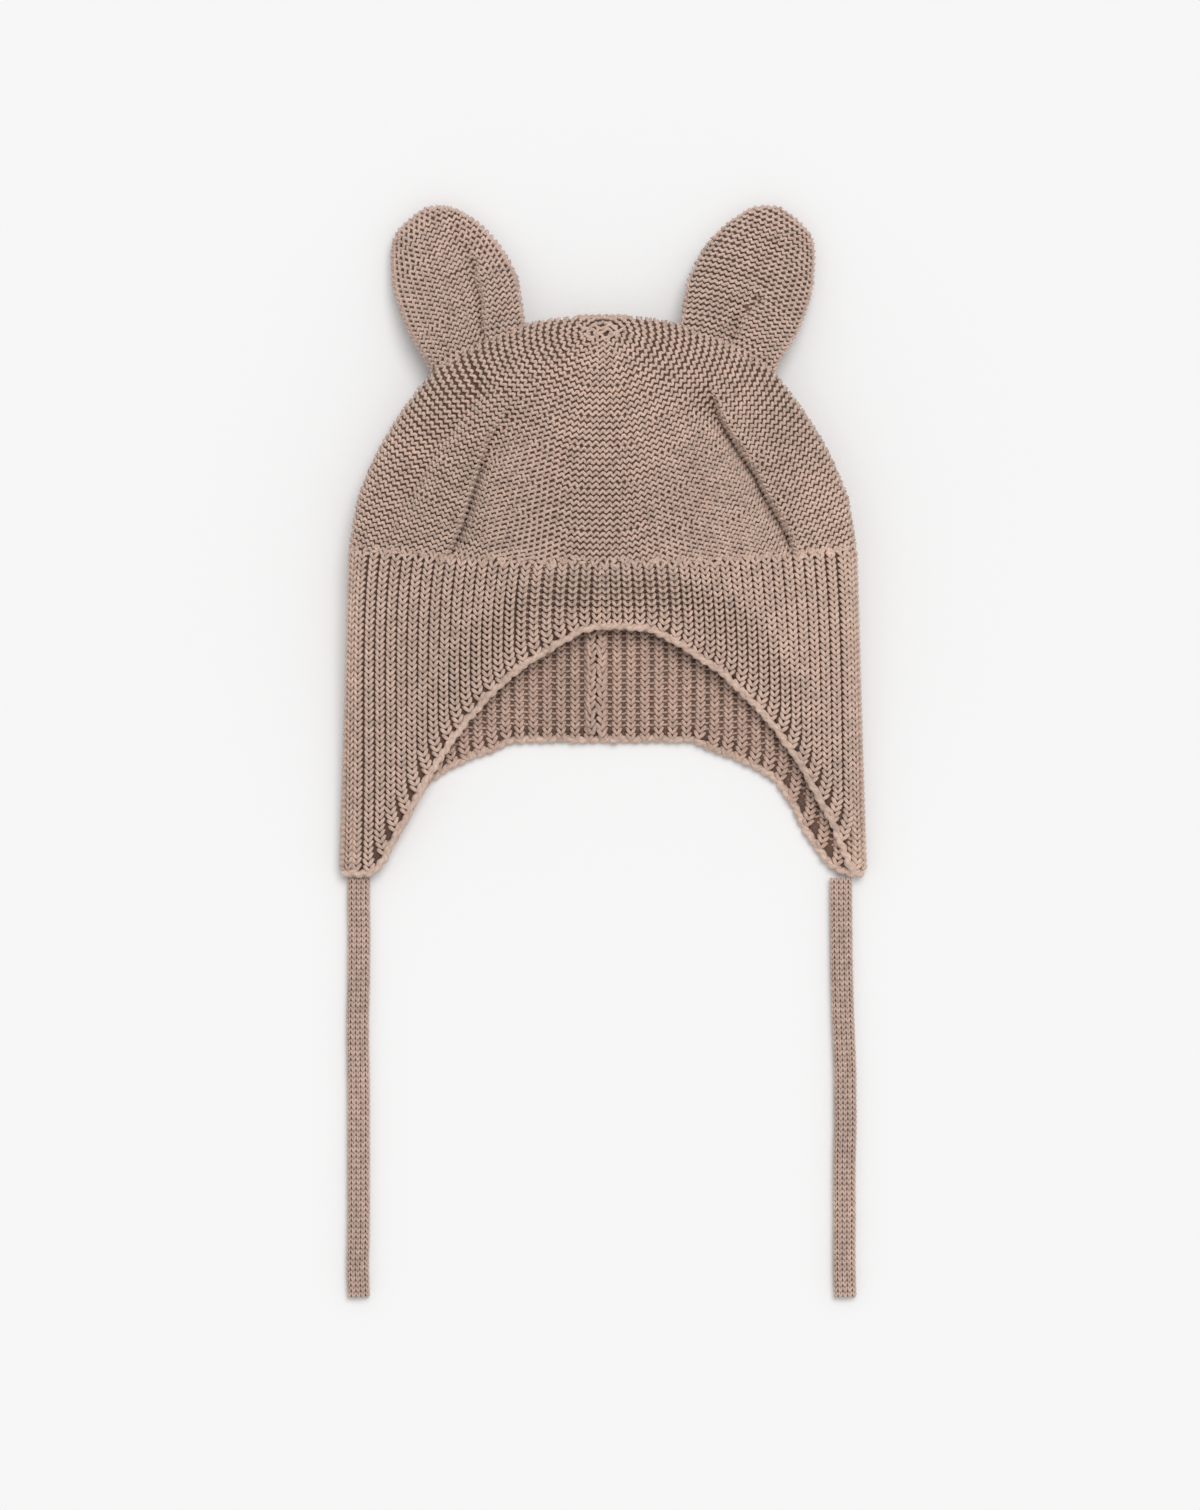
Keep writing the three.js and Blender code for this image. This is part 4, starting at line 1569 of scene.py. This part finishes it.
    def rib_loops(self, side: Side, inside: bool) -> Loops:
        """Stacks of V stitches down the ribs of one layer, which turn towards the edge near it.

        Args:
            side: The layer.
            inside: Whether they are on its inner face.

        Returns:
            The places of the stitches.
        """
        hat = self.shop.hat
        shares = self.rib_shares(side, inside)
        depth = self.start_depth(side, shares) + self.first_row
        shift = np.zeros(len(shares))
        grid = []
        for _ in range(round(hat.flap_depth / self.course) + 2):
            natural = self.flared(side, shares, depth)
            straight = self.point(side, natural, depth)[:, 0]
            x = straight + shift
            share = natural + self.share_at(side, x, depth) - self.share_at(side, straight, depth)
            points, outward, _ = self.frames(side, np.clip(share, -1, 1), depth)
            room = hat.rim_room(side, x, depth)
            wanted = -hat.rim_slope(side, x) * (1 - smoothstep(room, *self.turn_reach))
            turn = np.clip(wanted, -self.turn_limit, self.turn_limit)
            grid.append((points, outward, room, np.abs(turn), share))
            step = self.course / np.hypot(1, turn)
            depth = depth + step
            shift = shift + turn * step
        points, outward, room, turned, share = (np.array(column) for column in zip(*grid))
        upward = unit(-np.gradient(points, axis=0))
        pitch = np.linalg.norm(np.cross(upward, np.gradient(points, axis=1)), axis=-1)
        widest = self.loop_width * (1 + self.turned_wider * turned)
        width = np.minimum(self.pitch_share * pitch, widest) / self.loop_width
        keep = room > self.last_room
        if inside:
            arch = hat.edge_depth(Side.FRONT, points[..., 0])
            keep &= hat.lift - points[..., 1] > arch - self.inside_reach
            keep &= np.abs(share) < self.inside_span
        sizes = np.stack([width, 1 + self.turned_longer * turned, np.ones_like(width)], -1)
        sunk = self.inside_sink if inside else self.yarn_sink
        facing = -1.0 if inside else 1.0
        loops = Loops()
        loops.add((points - outward * sunk)[keep], facing * outward[keep], upward[keep], sizes[keep])
        return loops

    def rungs(self, side: Side, inside: bool) -> Strands:
        """Thin yarns that cross the channels between the ribs, one at every course."""
        hat = self.shop.hat
        lines = Strands()
        reach = self.rung_reaches[inside]
        sunk = (self.inside_sink if inside else self.yarn_sink) + self.rung_sinks[inside]
        facing = -1.0 if inside else 1.0
        shares = np.linspace(-reach, reach, 241)
        start = self.start_depth(side, shares)
        for level in np.arange(self.first_rung, hat.flap_depth, self.course):
            depth = start + level
            points, outward, _ = self.frames(side, shares, depth)
            keep = hat.rim_room(side, points[:, 0], depth) > self.rung_room
            if inside:
                keep &= depth > hat.edge_depth(Side.FRONT, points[:, 0]) - self.inside_reach
            for part in runs(keep, 6):
                line = points[part] - outward[part] * sunk
                lines.add(line, facing * outward[part], arc_lengths(line) / self.course)
        return lines

    def rim(self, side: Side, count: int) -> tuple[np.ndarray, np.ndarray, np.ndarray, np.ndarray]:
        """Stations along the rim of a layer, spaced evenly.

        Args:
            side: The layer.
            count: How many stations.

        Returns:
            Points, outward normals, directions along the rim and directions off its edge.
        """
        shares = np.linspace(-1, 1, 2001)
        depth = self.column_rim(side, shares)
        points, outward, _ = self.frames(side, shares, depth)
        arc = arc_lengths(points)
        wanted = np.linspace(0, arc[-1], count)
        points = at_lengths(wanted, arc, points)
        outward = unit(at_lengths(wanted, arc, outward))
        along = unit(np.gradient(points, axis=0))
        off = unit(np.cross(along, outward))
        off *= np.where(off[:, 1:2] > 0, -1.0, 1.0)
        return points, outward, along, off

    def bead_strands(self) -> Strands:
        """The thick strand along the whole lower edge, which swells at every rib."""
        hat = self.shop.hat
        middle = 0.5 * hat.wall
        parts = []
        for side in Side:
            points, outward, _, off = self.rim(side, self.bead_stations)
            centre = points - outward * middle + off * (hat.bead_radius + self.bead_gap)
            centre[:, 2] = np.maximum(centre[:, 2], hat.bead_radius + self.bead_lift)
            parts.append((centre, outward))
        centre = np.concatenate([parts[0][0], parts[1][0][::-1]])
        outward = np.concatenate([parts[0][1], parts[1][1][::-1]])
        for _ in range(6):
            centre = (np.roll(centre, 1, 0) + 2 * centre + np.roll(centre, -1, 0)) / 4
            outward = unit(np.roll(outward, 1, 0) + 2 * outward + np.roll(outward, -1, 0))
        centre = np.concatenate([centre, centre[:1]])
        outward = np.concatenate([outward, outward[:1]])
        arc = arc_lengths(centre)
        turns = round(arc[-1] / self.bead_pitch)
        lines = Strands()
        lines.add(centre, outward, arc / arc[-1] * turns)
        return lines

    def build(self) -> None:
        """Builds the ground, the ribs outside and inside, and the bead."""
        shop = self.shop
        ground = self.ground()
        ground.data.materials.append(shop.ground)
        shop.keep(ground, "rib_knit", "rib_band")
        ribs = LoopYarn(self.loop_width, self.course, lift=0.6, radius=self.yarn_radius)
        faces = (
            ("band_front", Side.FRONT, False, replace(ribs, leg_steps=4)),
            ("band_back", Side.BACK, False, replace(ribs, leg_steps=2, sides=4)),
            ("band_lining", Side.BACK, True, ribs),
        )
        for label, side, inside, yarn in faces:
            finish = shop.shaded_inside_yarn if inside else shop.yarn
            places = self.rib_loops(side, inside)
            shop.keep(shop.knit(label + "_ribs", places, yarn, finish), "rib_knit")
        for label, side, inside, _ in (faces[0], faces[2]):
            finish = shop.shaded_inside_yarn if inside else shop.yarn
            lines = self.rungs(side, inside)
            shop.keep(shop.knit(label + "_rungs", lines, self.rung, finish), "rib_knit")
        rope = shop.knit("edge_rope", self.bead_strands(), self.bead, shop.yarn)
        shop.keep(rope, "edge_knit", "edge_bead")


@dataclass
class BackSeam:
    """The centre-back seam on the inside: two uneven stacks of tight stitches."""

    shop: Workshop
    stacks: tuple[float, ...] = (-4.3, -0.5)
    course: float = 2.3
    height: float = 4.3
    top_gap: float = 1.5
    foot_gap: float = 3.2
    stagger: float = 0.9
    sway: float = 0.35
    sway_rate: float = 0.9
    lean: float = 0.35

    def build(self) -> None:
        """Builds the two stacks."""
        low, high = (np.array(corner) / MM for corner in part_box("back_seam"))
        loops = Loops()
        for rank, x in enumerate(self.stacks):
            top = high[1] - self.top_gap - self.stagger * rank
            y = np.arange(top, low[1] + self.foot_gap, -self.course)
            sway = self.sway * np.sin(self.sway_rate * y + 2 * rank)
            points = np.stack([x + sway, y, np.full_like(y, self.height)], 1)
            outward = unit(np.tile([self.lean * (2 * rank - 1), 0, 1.0], (len(y), 1)))
            upward = np.tile([0.0, 1.0, 0.0], (len(y), 1))
            loops.add(points, outward, upward, np.tile([1.0, 1.0, 1.0], (len(y), 1)))
        yarn = LoopYarn(3.6, self.course, lift=0.5, radius=0.75, tilt=0.22, seed=11)
        seam = self.shop.knit("back_seam_stitches", loops, yarn, self.shop.shaded_inside_yarn)
        self.shop.keep(seam, "edge_knit", "back_seam")


@dataclass
class Ear:
    """One rounded ear of two layers, pinched at its base and sewn on the crown."""

    shop: Workshop
    name: str
    hand: int
    creases: tuple[Crease, ...]
    length: float = 52.2
    width: float = 44.0
    thickness: float = 7.5
    base_across: float = 0.493
    base_along: float = 0.886
    lean: float = math.radians(14.4)
    root: float = 6.0
    tip_droop: float = 6.5
    row_pitch: float = 2.0
    stitch: float = 2.35
    yarn_sink: float = 0.62
    ground_sink: float = 1.2
    rim_sink: float = 0.8
    arching: float = 0.08
    skew: float = 0.06
    columns: int = 144
    rows: int = 120

    def place(self, across: np.ndarray, along: np.ndarray, height: np.ndarray) -> np.ndarray:
        """Point at a distance across and along the ear and at a height."""
        hat = self.shop.hat
        sin, cos = math.sin(self.lean), math.cos(self.lean)
        x = self.hand * (self.base_across * hat.crown_half + cos * across + sin * along)
        y = hat.lift + self.base_along * hat.crown_height - sin * across + cos * along
        return np.stack([x, y, height], -1)

    def skin(self, ground: bool = False) -> tuple[Skin, np.ndarray, np.ndarray]:
        """Grid over the whole ear, rows from the root to the tip and columns all round.

        Args:
            ground: Whether it is for the ground, whose pleats are deeper than the yarn's.

        Returns:
            The skin, and how far along and across the ear each point lies, as shares.
        """
        hat = self.shop.hat
        half = self.width / 2
        root = -self.root / self.length
        at = root + (0.998 - root) * (1 - np.linspace(1, 0, self.rows) ** 1.6)
        angle = np.linspace(0, 2 * math.pi, self.columns + 1)[None, :]
        outer = half * smooth_read(EAR_OUTLINE, "outer", at)[:, None]
        inner = half * smooth_read(EAR_OUTLINE, "inner", at)[:, None]
        reach = np.sign(np.cos(angle)) * np.abs(np.cos(angle)) ** 0.75
        across = (outer - inner) / 2 + reach * (outer + inner) / 2
        taper = np.sqrt(1 - np.clip(at, 0, 1) ** 6)[:, None]
        rise = np.sin(angle) * self.thickness / 2 * taper
        level = hat.crown_loft * hat.fold_share - self.tip_droop * smoothstep(at, 0, 0.8)
        level = np.maximum(level, self.thickness / 2 + hat.gap)[:, None]
        along = at[:, None] * np.ones_like(across)
        height = level + rise
        upper = np.maximum(np.sin(angle), 0)
        moved_across, moved_along = across, along * self.length
        for crease in self.creases:
            move_x, move_y, drop = crease.folded(moved_across, moved_along, ground)
            moved_across = moved_across + upper * move_x
            moved_along = moved_along + upper * move_y
            height = height - upper * drop
        points = self.place(moved_across, moved_along, height)
        inside = self.place(np.zeros_like(across), along * self.length, level * np.ones_like(across))
        return Skin.of(points, inside), along, across / half

    def strands(self) -> Strands:
        """Courses that run round the ear, arched like its tip."""
        skin, along, across = self.skin()
        heights = -(along + self.arching * across**2 + self.skew * across)
        levels = np.arange(heights.min(), heights.max(), self.row_pitch / self.length)
        first, _ = crossings(levels, heights)
        lines = Strands()
        for row in range(len(levels)):
            for part in runs(np.isfinite(first[row]), 4):
                points, normals = skin.sample(first[row][part], part.astype(float))
                arc = arc_lengths(points)
                if arc[-1] > 2 * self.stitch:
                    marks = arc[part % (self.columns // 4) == 0]
                    phase = count_stitches(arc, marks, self.stitch)
                    lines.add(points - normals * self.yarn_sink, normals, phase)
        far = self.columns // 2
        rim = np.concatenate([skin.points[:, 0], skin.points[::-1, far]])
        outward = np.concatenate([skin.normals[:, 0], skin.normals[::-1, far]])
        lines.add(rim - outward * self.rim_sink, outward, arc_lengths(rim) / self.stitch)
        return lines

    def build(self) -> None:
        """Builds the ground of the ear and its courses."""
        skin, _, _ = self.skin(ground=True)
        rows = np.r_[0 : self.rows : 3, self.rows - 1]
        outer = skin.moved(-self.ground_sink)[rows][:, :-1:2]
        inner = skin.moved(-self.ground_sink - 0.5)[rows][:, :-1:2]
        ends = [outer[-1].mean(axis=0), inner[-1].mean(axis=0)]
        ground = shell(self.name + "_ground", outer, inner, (ends[0], ends[1]))
        ground.data.materials.append(self.shop.ground)
        self.shop.keep(ground, "ear_knit", self.name)
        yarn = CourseYarn(
            step=self.stitch / 6, radius=0.61, wave=0.56, lift=0.42, unevenness=0.55, bulge=0.1
        )
        courses = self.shop.knit(self.name + "_courses", self.strands(), yarn, self.shop.ear_yarn)
        self.shop.keep(courses, "ear_knit")


@dataclass
class Tie:
    """One flat knitted tie that lies on the floor below a flap."""

    shop: Workshop
    name: str
    route: str
    width: float = 9.0
    thickness: float = 3.6
    first_row: float = 0.8
    last_gap: float = 0.3
    side_room: float = 0.6
    ground_inset: float = 0.7
    face_sink: float = 0.55
    side_sink: float = 1.0
    side_lean: float = 0.55
    stacks: int = 5
    course: float = 1.94
    stations: int = 120

    def path(self) -> np.ndarray:
        """Middle line of the tie, evenly spaced."""
        x, y = np.array(TIE_ROUTES[self.route]), np.array(TIE_ROUTES["y"])
        knots = np.stack([x, y, np.full_like(x, self.thickness / 2)], 1)
        arc = arc_lengths(knots)
        return at_lengths(np.linspace(0, arc[-1], self.stations), arc, knots)

    def ground(self, line: np.ndarray) -> bpy.types.Object:
        """A flat bar with rounded sides under the stitches."""
        along = unit(np.gradient(line, axis=0))
        side = unit(np.cross(along, [0, 0, 1.0]))
        angle = np.linspace(0, 2 * math.pi, 16, endpoint=False)
        rounded = np.sign(np.cos(angle)) * np.abs(np.cos(angle)) ** 0.5
        wide = rounded * (self.width / 2 - self.ground_inset)
        tall = np.sin(angle) * (self.thickness / 2 - self.ground_inset)
        up = np.array([0, 0, 1.0])
        rings = line[:, None] + side[:, None] * wide[None, :, None] + up * tall[None, :, None]
        points = np.concatenate([rings.reshape(-1, 3), line[:1], line[-1:]])
        sides, last = len(angle), len(line) - 1
        faces = []
        for i in range(sides):
            j = (i + 1) % sides
            for row in range(last):
                near, far = row * sides, (row + 1) * sides
                faces.append((near + i, near + j, far + j, far + i))
            faces.append((j, i, len(points) - 2))
            faces.append((last * sides + i, last * sides + j, len(points) - 1))
        mesh = bpy.data.meshes.new(self.name + "_ground")
        mesh.from_pydata((points * MM).tolist(), [], faces)
        bar = new_object(mesh.name, mesh)
        face_outwards(mesh)
        return bar

    def loops(self, line: np.ndarray) -> Loops:
        """V stitches on both faces of the tie, curling round its sides."""
        arc = arc_lengths(line)
        wanted = np.arange(self.first_row, arc[-1] - self.last_gap, self.course)
        middle = at_lengths(wanted, arc, line)
        along = unit(np.gradient(middle, axis=0))
        side = unit(np.cross(along, [0, 0, 1.0]))
        pitch = (self.width - self.side_room) / self.stacks
        loops = Loops()
        for face in (1.0, -1.0):
            for stack in range(self.stacks):
                across = (stack - (self.stacks - 1) / 2) * pitch
                edge = abs(across) > (self.stacks - 1.5) / 2 * pitch
                height = self.thickness / 2 - (self.side_sink if edge else self.face_sink)
                centre = middle + side * across + np.array([0, 0, face * height])
                lean = self.side_lean * np.sign(across) if edge else 0.0
                outward = unit(side * lean + np.array([0, 0, face]))
                loops.add(centre, outward, -along, np.ones((len(wanted), 3)))
        return loops

    def build(self) -> None:
        shop = self.shop
        line = self.path()
        bar = self.ground(line)
        bar.data.materials.append(shop.ground)
        yarn = LoopYarn(
            1.45, self.course, lift=0.44, radius=0.4, tilt=0.08, seed=3, leg_steps=2, sides=4
        )
        knit = shop.knit(self.name + "_knit", self.loops(line), yarn, shop.ear_yarn)
        piece = joined(knit, bar)
        shop.keep(piece, "tie_knit", self.name)


def joined(first: bpy.types.Object, *others: bpy.types.Object) -> bpy.types.Object:
    """Joins objects into the first one."""
    chosen = [first, *others]
    with bpy.context.temp_override(
        active_object=first, selected_objects=chosen, selected_editable_objects=chosen
    ):
        bpy.ops.object.join()
    return first


@dataclass(frozen=True)
class Studio:
    """Camera, soft light and a pale floor, in metres."""

    frame_height: float = 0.5436
    middle: tuple[float, float] = (-0.00108, -0.0769)
    distance: float = 2.4
    focus_height: float = 0.008
    sensor: float = 24.0
    floor_level: float = -0.0006
    floor_reach: float = 6.0
    floor_tones: tuple[float, float] = (0.905, 0.915)
    sky: float = 0.6
    key: float = 1.45

    def camera(self) -> None:
        """A long lens straight above, framed as the picture is."""
        lens = bpy.data.cameras.new("camera")
        lens.sensor_fit = "VERTICAL"
        lens.sensor_height = self.sensor
        lens.lens = self.sensor * (self.distance - self.focus_height) / self.frame_height
        view = bpy.data.objects.new("camera", lens)
        view.location = (*self.middle, self.distance)
        bpy.context.scene.collection.objects.link(view)
        bpy.context.scene.camera = view

    def light(
        self, name: str, direction: tuple[float, float, float], spread: float, strength: float
    ) -> None:
        """A far, soft light.

        Args:
            name: Name of the light.
            direction: The way from the hat to the light.
            spread: Angle that the light covers, in degrees.
            strength: Its strength.
        """
        lamp = bpy.data.lights.new(name, "SUN")
        lamp.angle = math.radians(spread)
        lamp.energy = strength
        holder = bpy.data.objects.new(name, lamp)
        holder.rotation_euler = Vector(direction).to_track_quat("Z", "Y").to_euler()
        bpy.context.scene.collection.objects.link(holder)

    def floor(self) -> None:
        """A wide pale floor that isn't part of the hat."""
        mesh = bpy.data.meshes.new("floor")
        reach = self.floor_reach
        corners = [(-reach, -reach), (reach, -reach), (reach, reach), (-reach, reach)]
        mesh.from_pydata([(x, y, self.floor_level) for x, y in corners], [], [(0, 1, 2, 3)])
        board = new_object("floor", mesh)
        paint = bpy.data.materials.new("floor_paint")
        paint.use_nodes = True
        shader = paint.node_tree.nodes["Principled BSDF"]
        place = add_node(paint.node_tree, "ShaderNodeTexCoord").outputs["Object"]
        dark, pale = self.floor_tones
        cloud = add_node(paint.node_tree, "ShaderNodeTexNoise", {"Vector": place, "Scale": 3.0})
        tone = add_node(
            paint.node_tree,
            "ShaderNodeMix",
            {0: cloud.outputs["Fac"], 6: (*[dark] * 3, 1), 7: (*[pale] * 3, 1)},
            data_type="RGBA",
        )
        paint.node_tree.links.new(tone.outputs[2], shader.inputs["Base Color"])
        shader.inputs["Roughness"].default_value = 0.95
        shader.inputs["Specular IOR Level"].default_value = 0.0
        mesh.materials.append(paint)

    def build(self) -> None:
        """Sets the sky's light, the lamps, the floor and the plain view of colours."""
        world = bpy.data.worlds.new("studio")
        world.use_nodes = True
        world.node_tree.nodes["Background"].inputs["Color"].default_value = (1, 1, 1, 1)
        world.node_tree.nodes["Background"].inputs["Strength"].default_value = self.sky
        bpy.context.scene.world = world
        bpy.context.scene.view_settings.view_transform = "Standard"
        self.light("key", (0.18, 0.42, 1.0), 35.0, self.key)
        self.floor()


# Middle lines of the ties in millimetres
TIE_ROUTES: Columns = {
    "y": (
        *(-121.5, -130.5, -140.6, -150.6, -160.7, -170.8, -180.9, -191.0),
        *(-201.1, -211.1, -221.2, -231.3, -241.4, -251.5, -261.5, -272.3),
    ),
    "left": (
        *(-88.1, -88.2, -88.0, -88.1, -88.2, -88.5, -88.5, -88.3),
        *(-88.2, -88.2, -88.2, -88.2, -88.2, -88.3, -88.6, -88.2),
    ),
    "right": (
        *(85.9, 85.9, 86.0, 86.1, 86.3, 86.6, 87.0, 87.4),
        *(87.4, 87.5, 87.2, 87.1, 87.2, 87.1, 87.1, 87.4),
    ),
}

# Creases of the crown, across and along it, as shares of its half width and its height
CROWN_CREASES = (
    Crease(
        xs=(-0.35, -0.377, -0.433, -0.461, -0.48, -0.497, -0.514, -0.541, -0.558, -0.578, -0.594),
        ys=(0.64, 0.574, 0.472, 0.405, 0.368, 0.317, 0.255, 0.155, 0.094, 0.043, 0),
        depth=4.4,
        left_reach=8.0,
        right_reach=0.9,
        overhang=1.3,
        slot=4.0,
        slot_reach=1.9,
        sets_in=0.38,
    ),
    Crease(
        xs=(0.4, 0.426, 0.447, 0.49, 0.549, 0.602, 0.646, 0.7, 0.734, 0.743),
        ys=(0.72, 0.643, 0.58, 0.504, 0.406, 0.315, 0.217, 0.119, 0.049, -0.011),
        depth=5.4,
        left_reach=1.0,
        right_reach=8.0,
        overhang=1.6,
        slot=4.6,
        slot_reach=2.8,
        sets_in=0.25,
    ),
    Crease(
        xs=(-0.5, -0.5, -0.594, -0.65, -0.707, -0.8),
        ys=(0.8, 0.66, 0.523, 0.461, 0.349, 0.15),
        depth=4.6,
        left_reach=3.2,
        right_reach=7.0,
    ),
    Crease((0.6, 0.66, 0.8, 0.88), (0.8, 0.72, 0.5, 0.3), depth=1.4, left_reach=5.0, right_reach=6.0),
    Crease((-0.4, -0.386, -0.38), (0.32, 0.2, -0.03), depth=1.3, left_reach=3.0, right_reach=3.0),
    Crease((0.5, 0.52, 0.53), (0.25, 0.1, -0.03), depth=1.2, left_reach=3.0, right_reach=3.0),
    Crease((0.04, 0.05, 0.06), (0.6, 0.25, 0.0), depth=1.1, left_reach=3.0, right_reach=8.0),
    Crease((-0.15, -0.19, -0.21), (0.5, 0.25, 0.0), depth=0.8, left_reach=6.0, right_reach=3.0),
)

# Creases of the ears in millimetres, across and along the ear
LEFT_EAR_CREASES = (
    Crease(
        xs=(-4.3, -5.8, -4.6, -5.0, -4.6, -3.9, -3.2, -2.9),
        ys=(33.0, 27.9, 22.3, 18.3, 13.3, 9.7, 5.5, -1.0),
        depth=3.0,
        left_reach=4.5,
        right_reach=1.0,
        overhang=0.7,
        slot=1.2,
        slot_reach=1.3,
    ),
    Crease(
        xs=(5.6, 5.1, 4.0, 2.9, 0.3, -1.7),
        ys=(28.0, 24.8, 20.2, 15.3, 8.7, 4.3),
        depth=1.0,
        left_reach=1.6,
        right_reach=5.0,
    ),
    Crease(
        xs=(-2.6, -3.0, -3.2, -4.3),
        ys=(50.0, 44.3, 37.4, 30.4),
        depth=1.6,
        left_reach=5.0,
        right_reach=4.0,
    ),
)
RIGHT_EAR_CREASES = (
    Crease(
        xs=(-3.6, -3.1, -1.2, 0.1, 0.2, -0.1),
        ys=(18.0, 14.9, 10.3, 6.7, 2.0, -1.0),
        depth=1.4,
        left_reach=4.0,
        right_reach=1.3,
    ),
    Crease(
        xs=(8.2, 6.9, 4.8, 3.2, 1.8, 1.0),
        ys=(20.0, 17.0, 14.2, 9.9, 6.0, -1.0),
        depth=2.8,
        left_reach=1.0,
        right_reach=4.5,
        overhang=0.4,
        slot=0.7,
        slot_reach=1.3,
        sets_in=0.4,
    ),
    Crease((8.9, 5.8, 6.1), (42.3, 31.5, 23.0), depth=1.5, left_reach=5.0, right_reach=4.0),
)


def main() -> None:
    """Builds the studio and the hat, piece by piece."""
    logging.basicConfig(level=logging.INFO, format="%(name)s: %(message)s")
    studio = Studio()
    studio.camera()
    shades = ShadeTrees()
    shop = Workshop(
        hat=Hat.from_frame(),
        stitches=StitchTrees(),
        yarn=YarnFinish("crown_yarn", (213, 185, 168)).material(shades),
        ear_yarn=YarnFinish("ear_yarn", (211, 184, 169)).material(shades),
        # Painted shade: a darker copy of the same yarn for the inside of the hat.
        shaded_inside_yarn=YarnFinish("shaded_inside_yarn", (206, 175, 158)).material(shades),
        # Painted shade: the ground's dark brown darkens the gaps between the stitches, where shade falls.
        ground=YarnFinish("painted_shade_ground", (106, 80, 67), groove_shade=0.0, ply_depth=0.0).material(shades),
    )
    Tie(shop, "tie_left", "left").build()
    Tie(shop, "tie_right", "right").build()
    Crown(shop).build()
    Band(shop).build()
    BackSeam(shop).build()
    Ear(shop, "ear_left", -1, LEFT_EAR_CREASES).build()
    Ear(shop, "ear_right", 1, RIGHT_EAR_CREASES).build()
    studio.build()
    LOG.info("whole hat: %d triangles", sum(count_triangles(piece) for piece in shop.pieces))


if __name__ == "__main__":
    main()
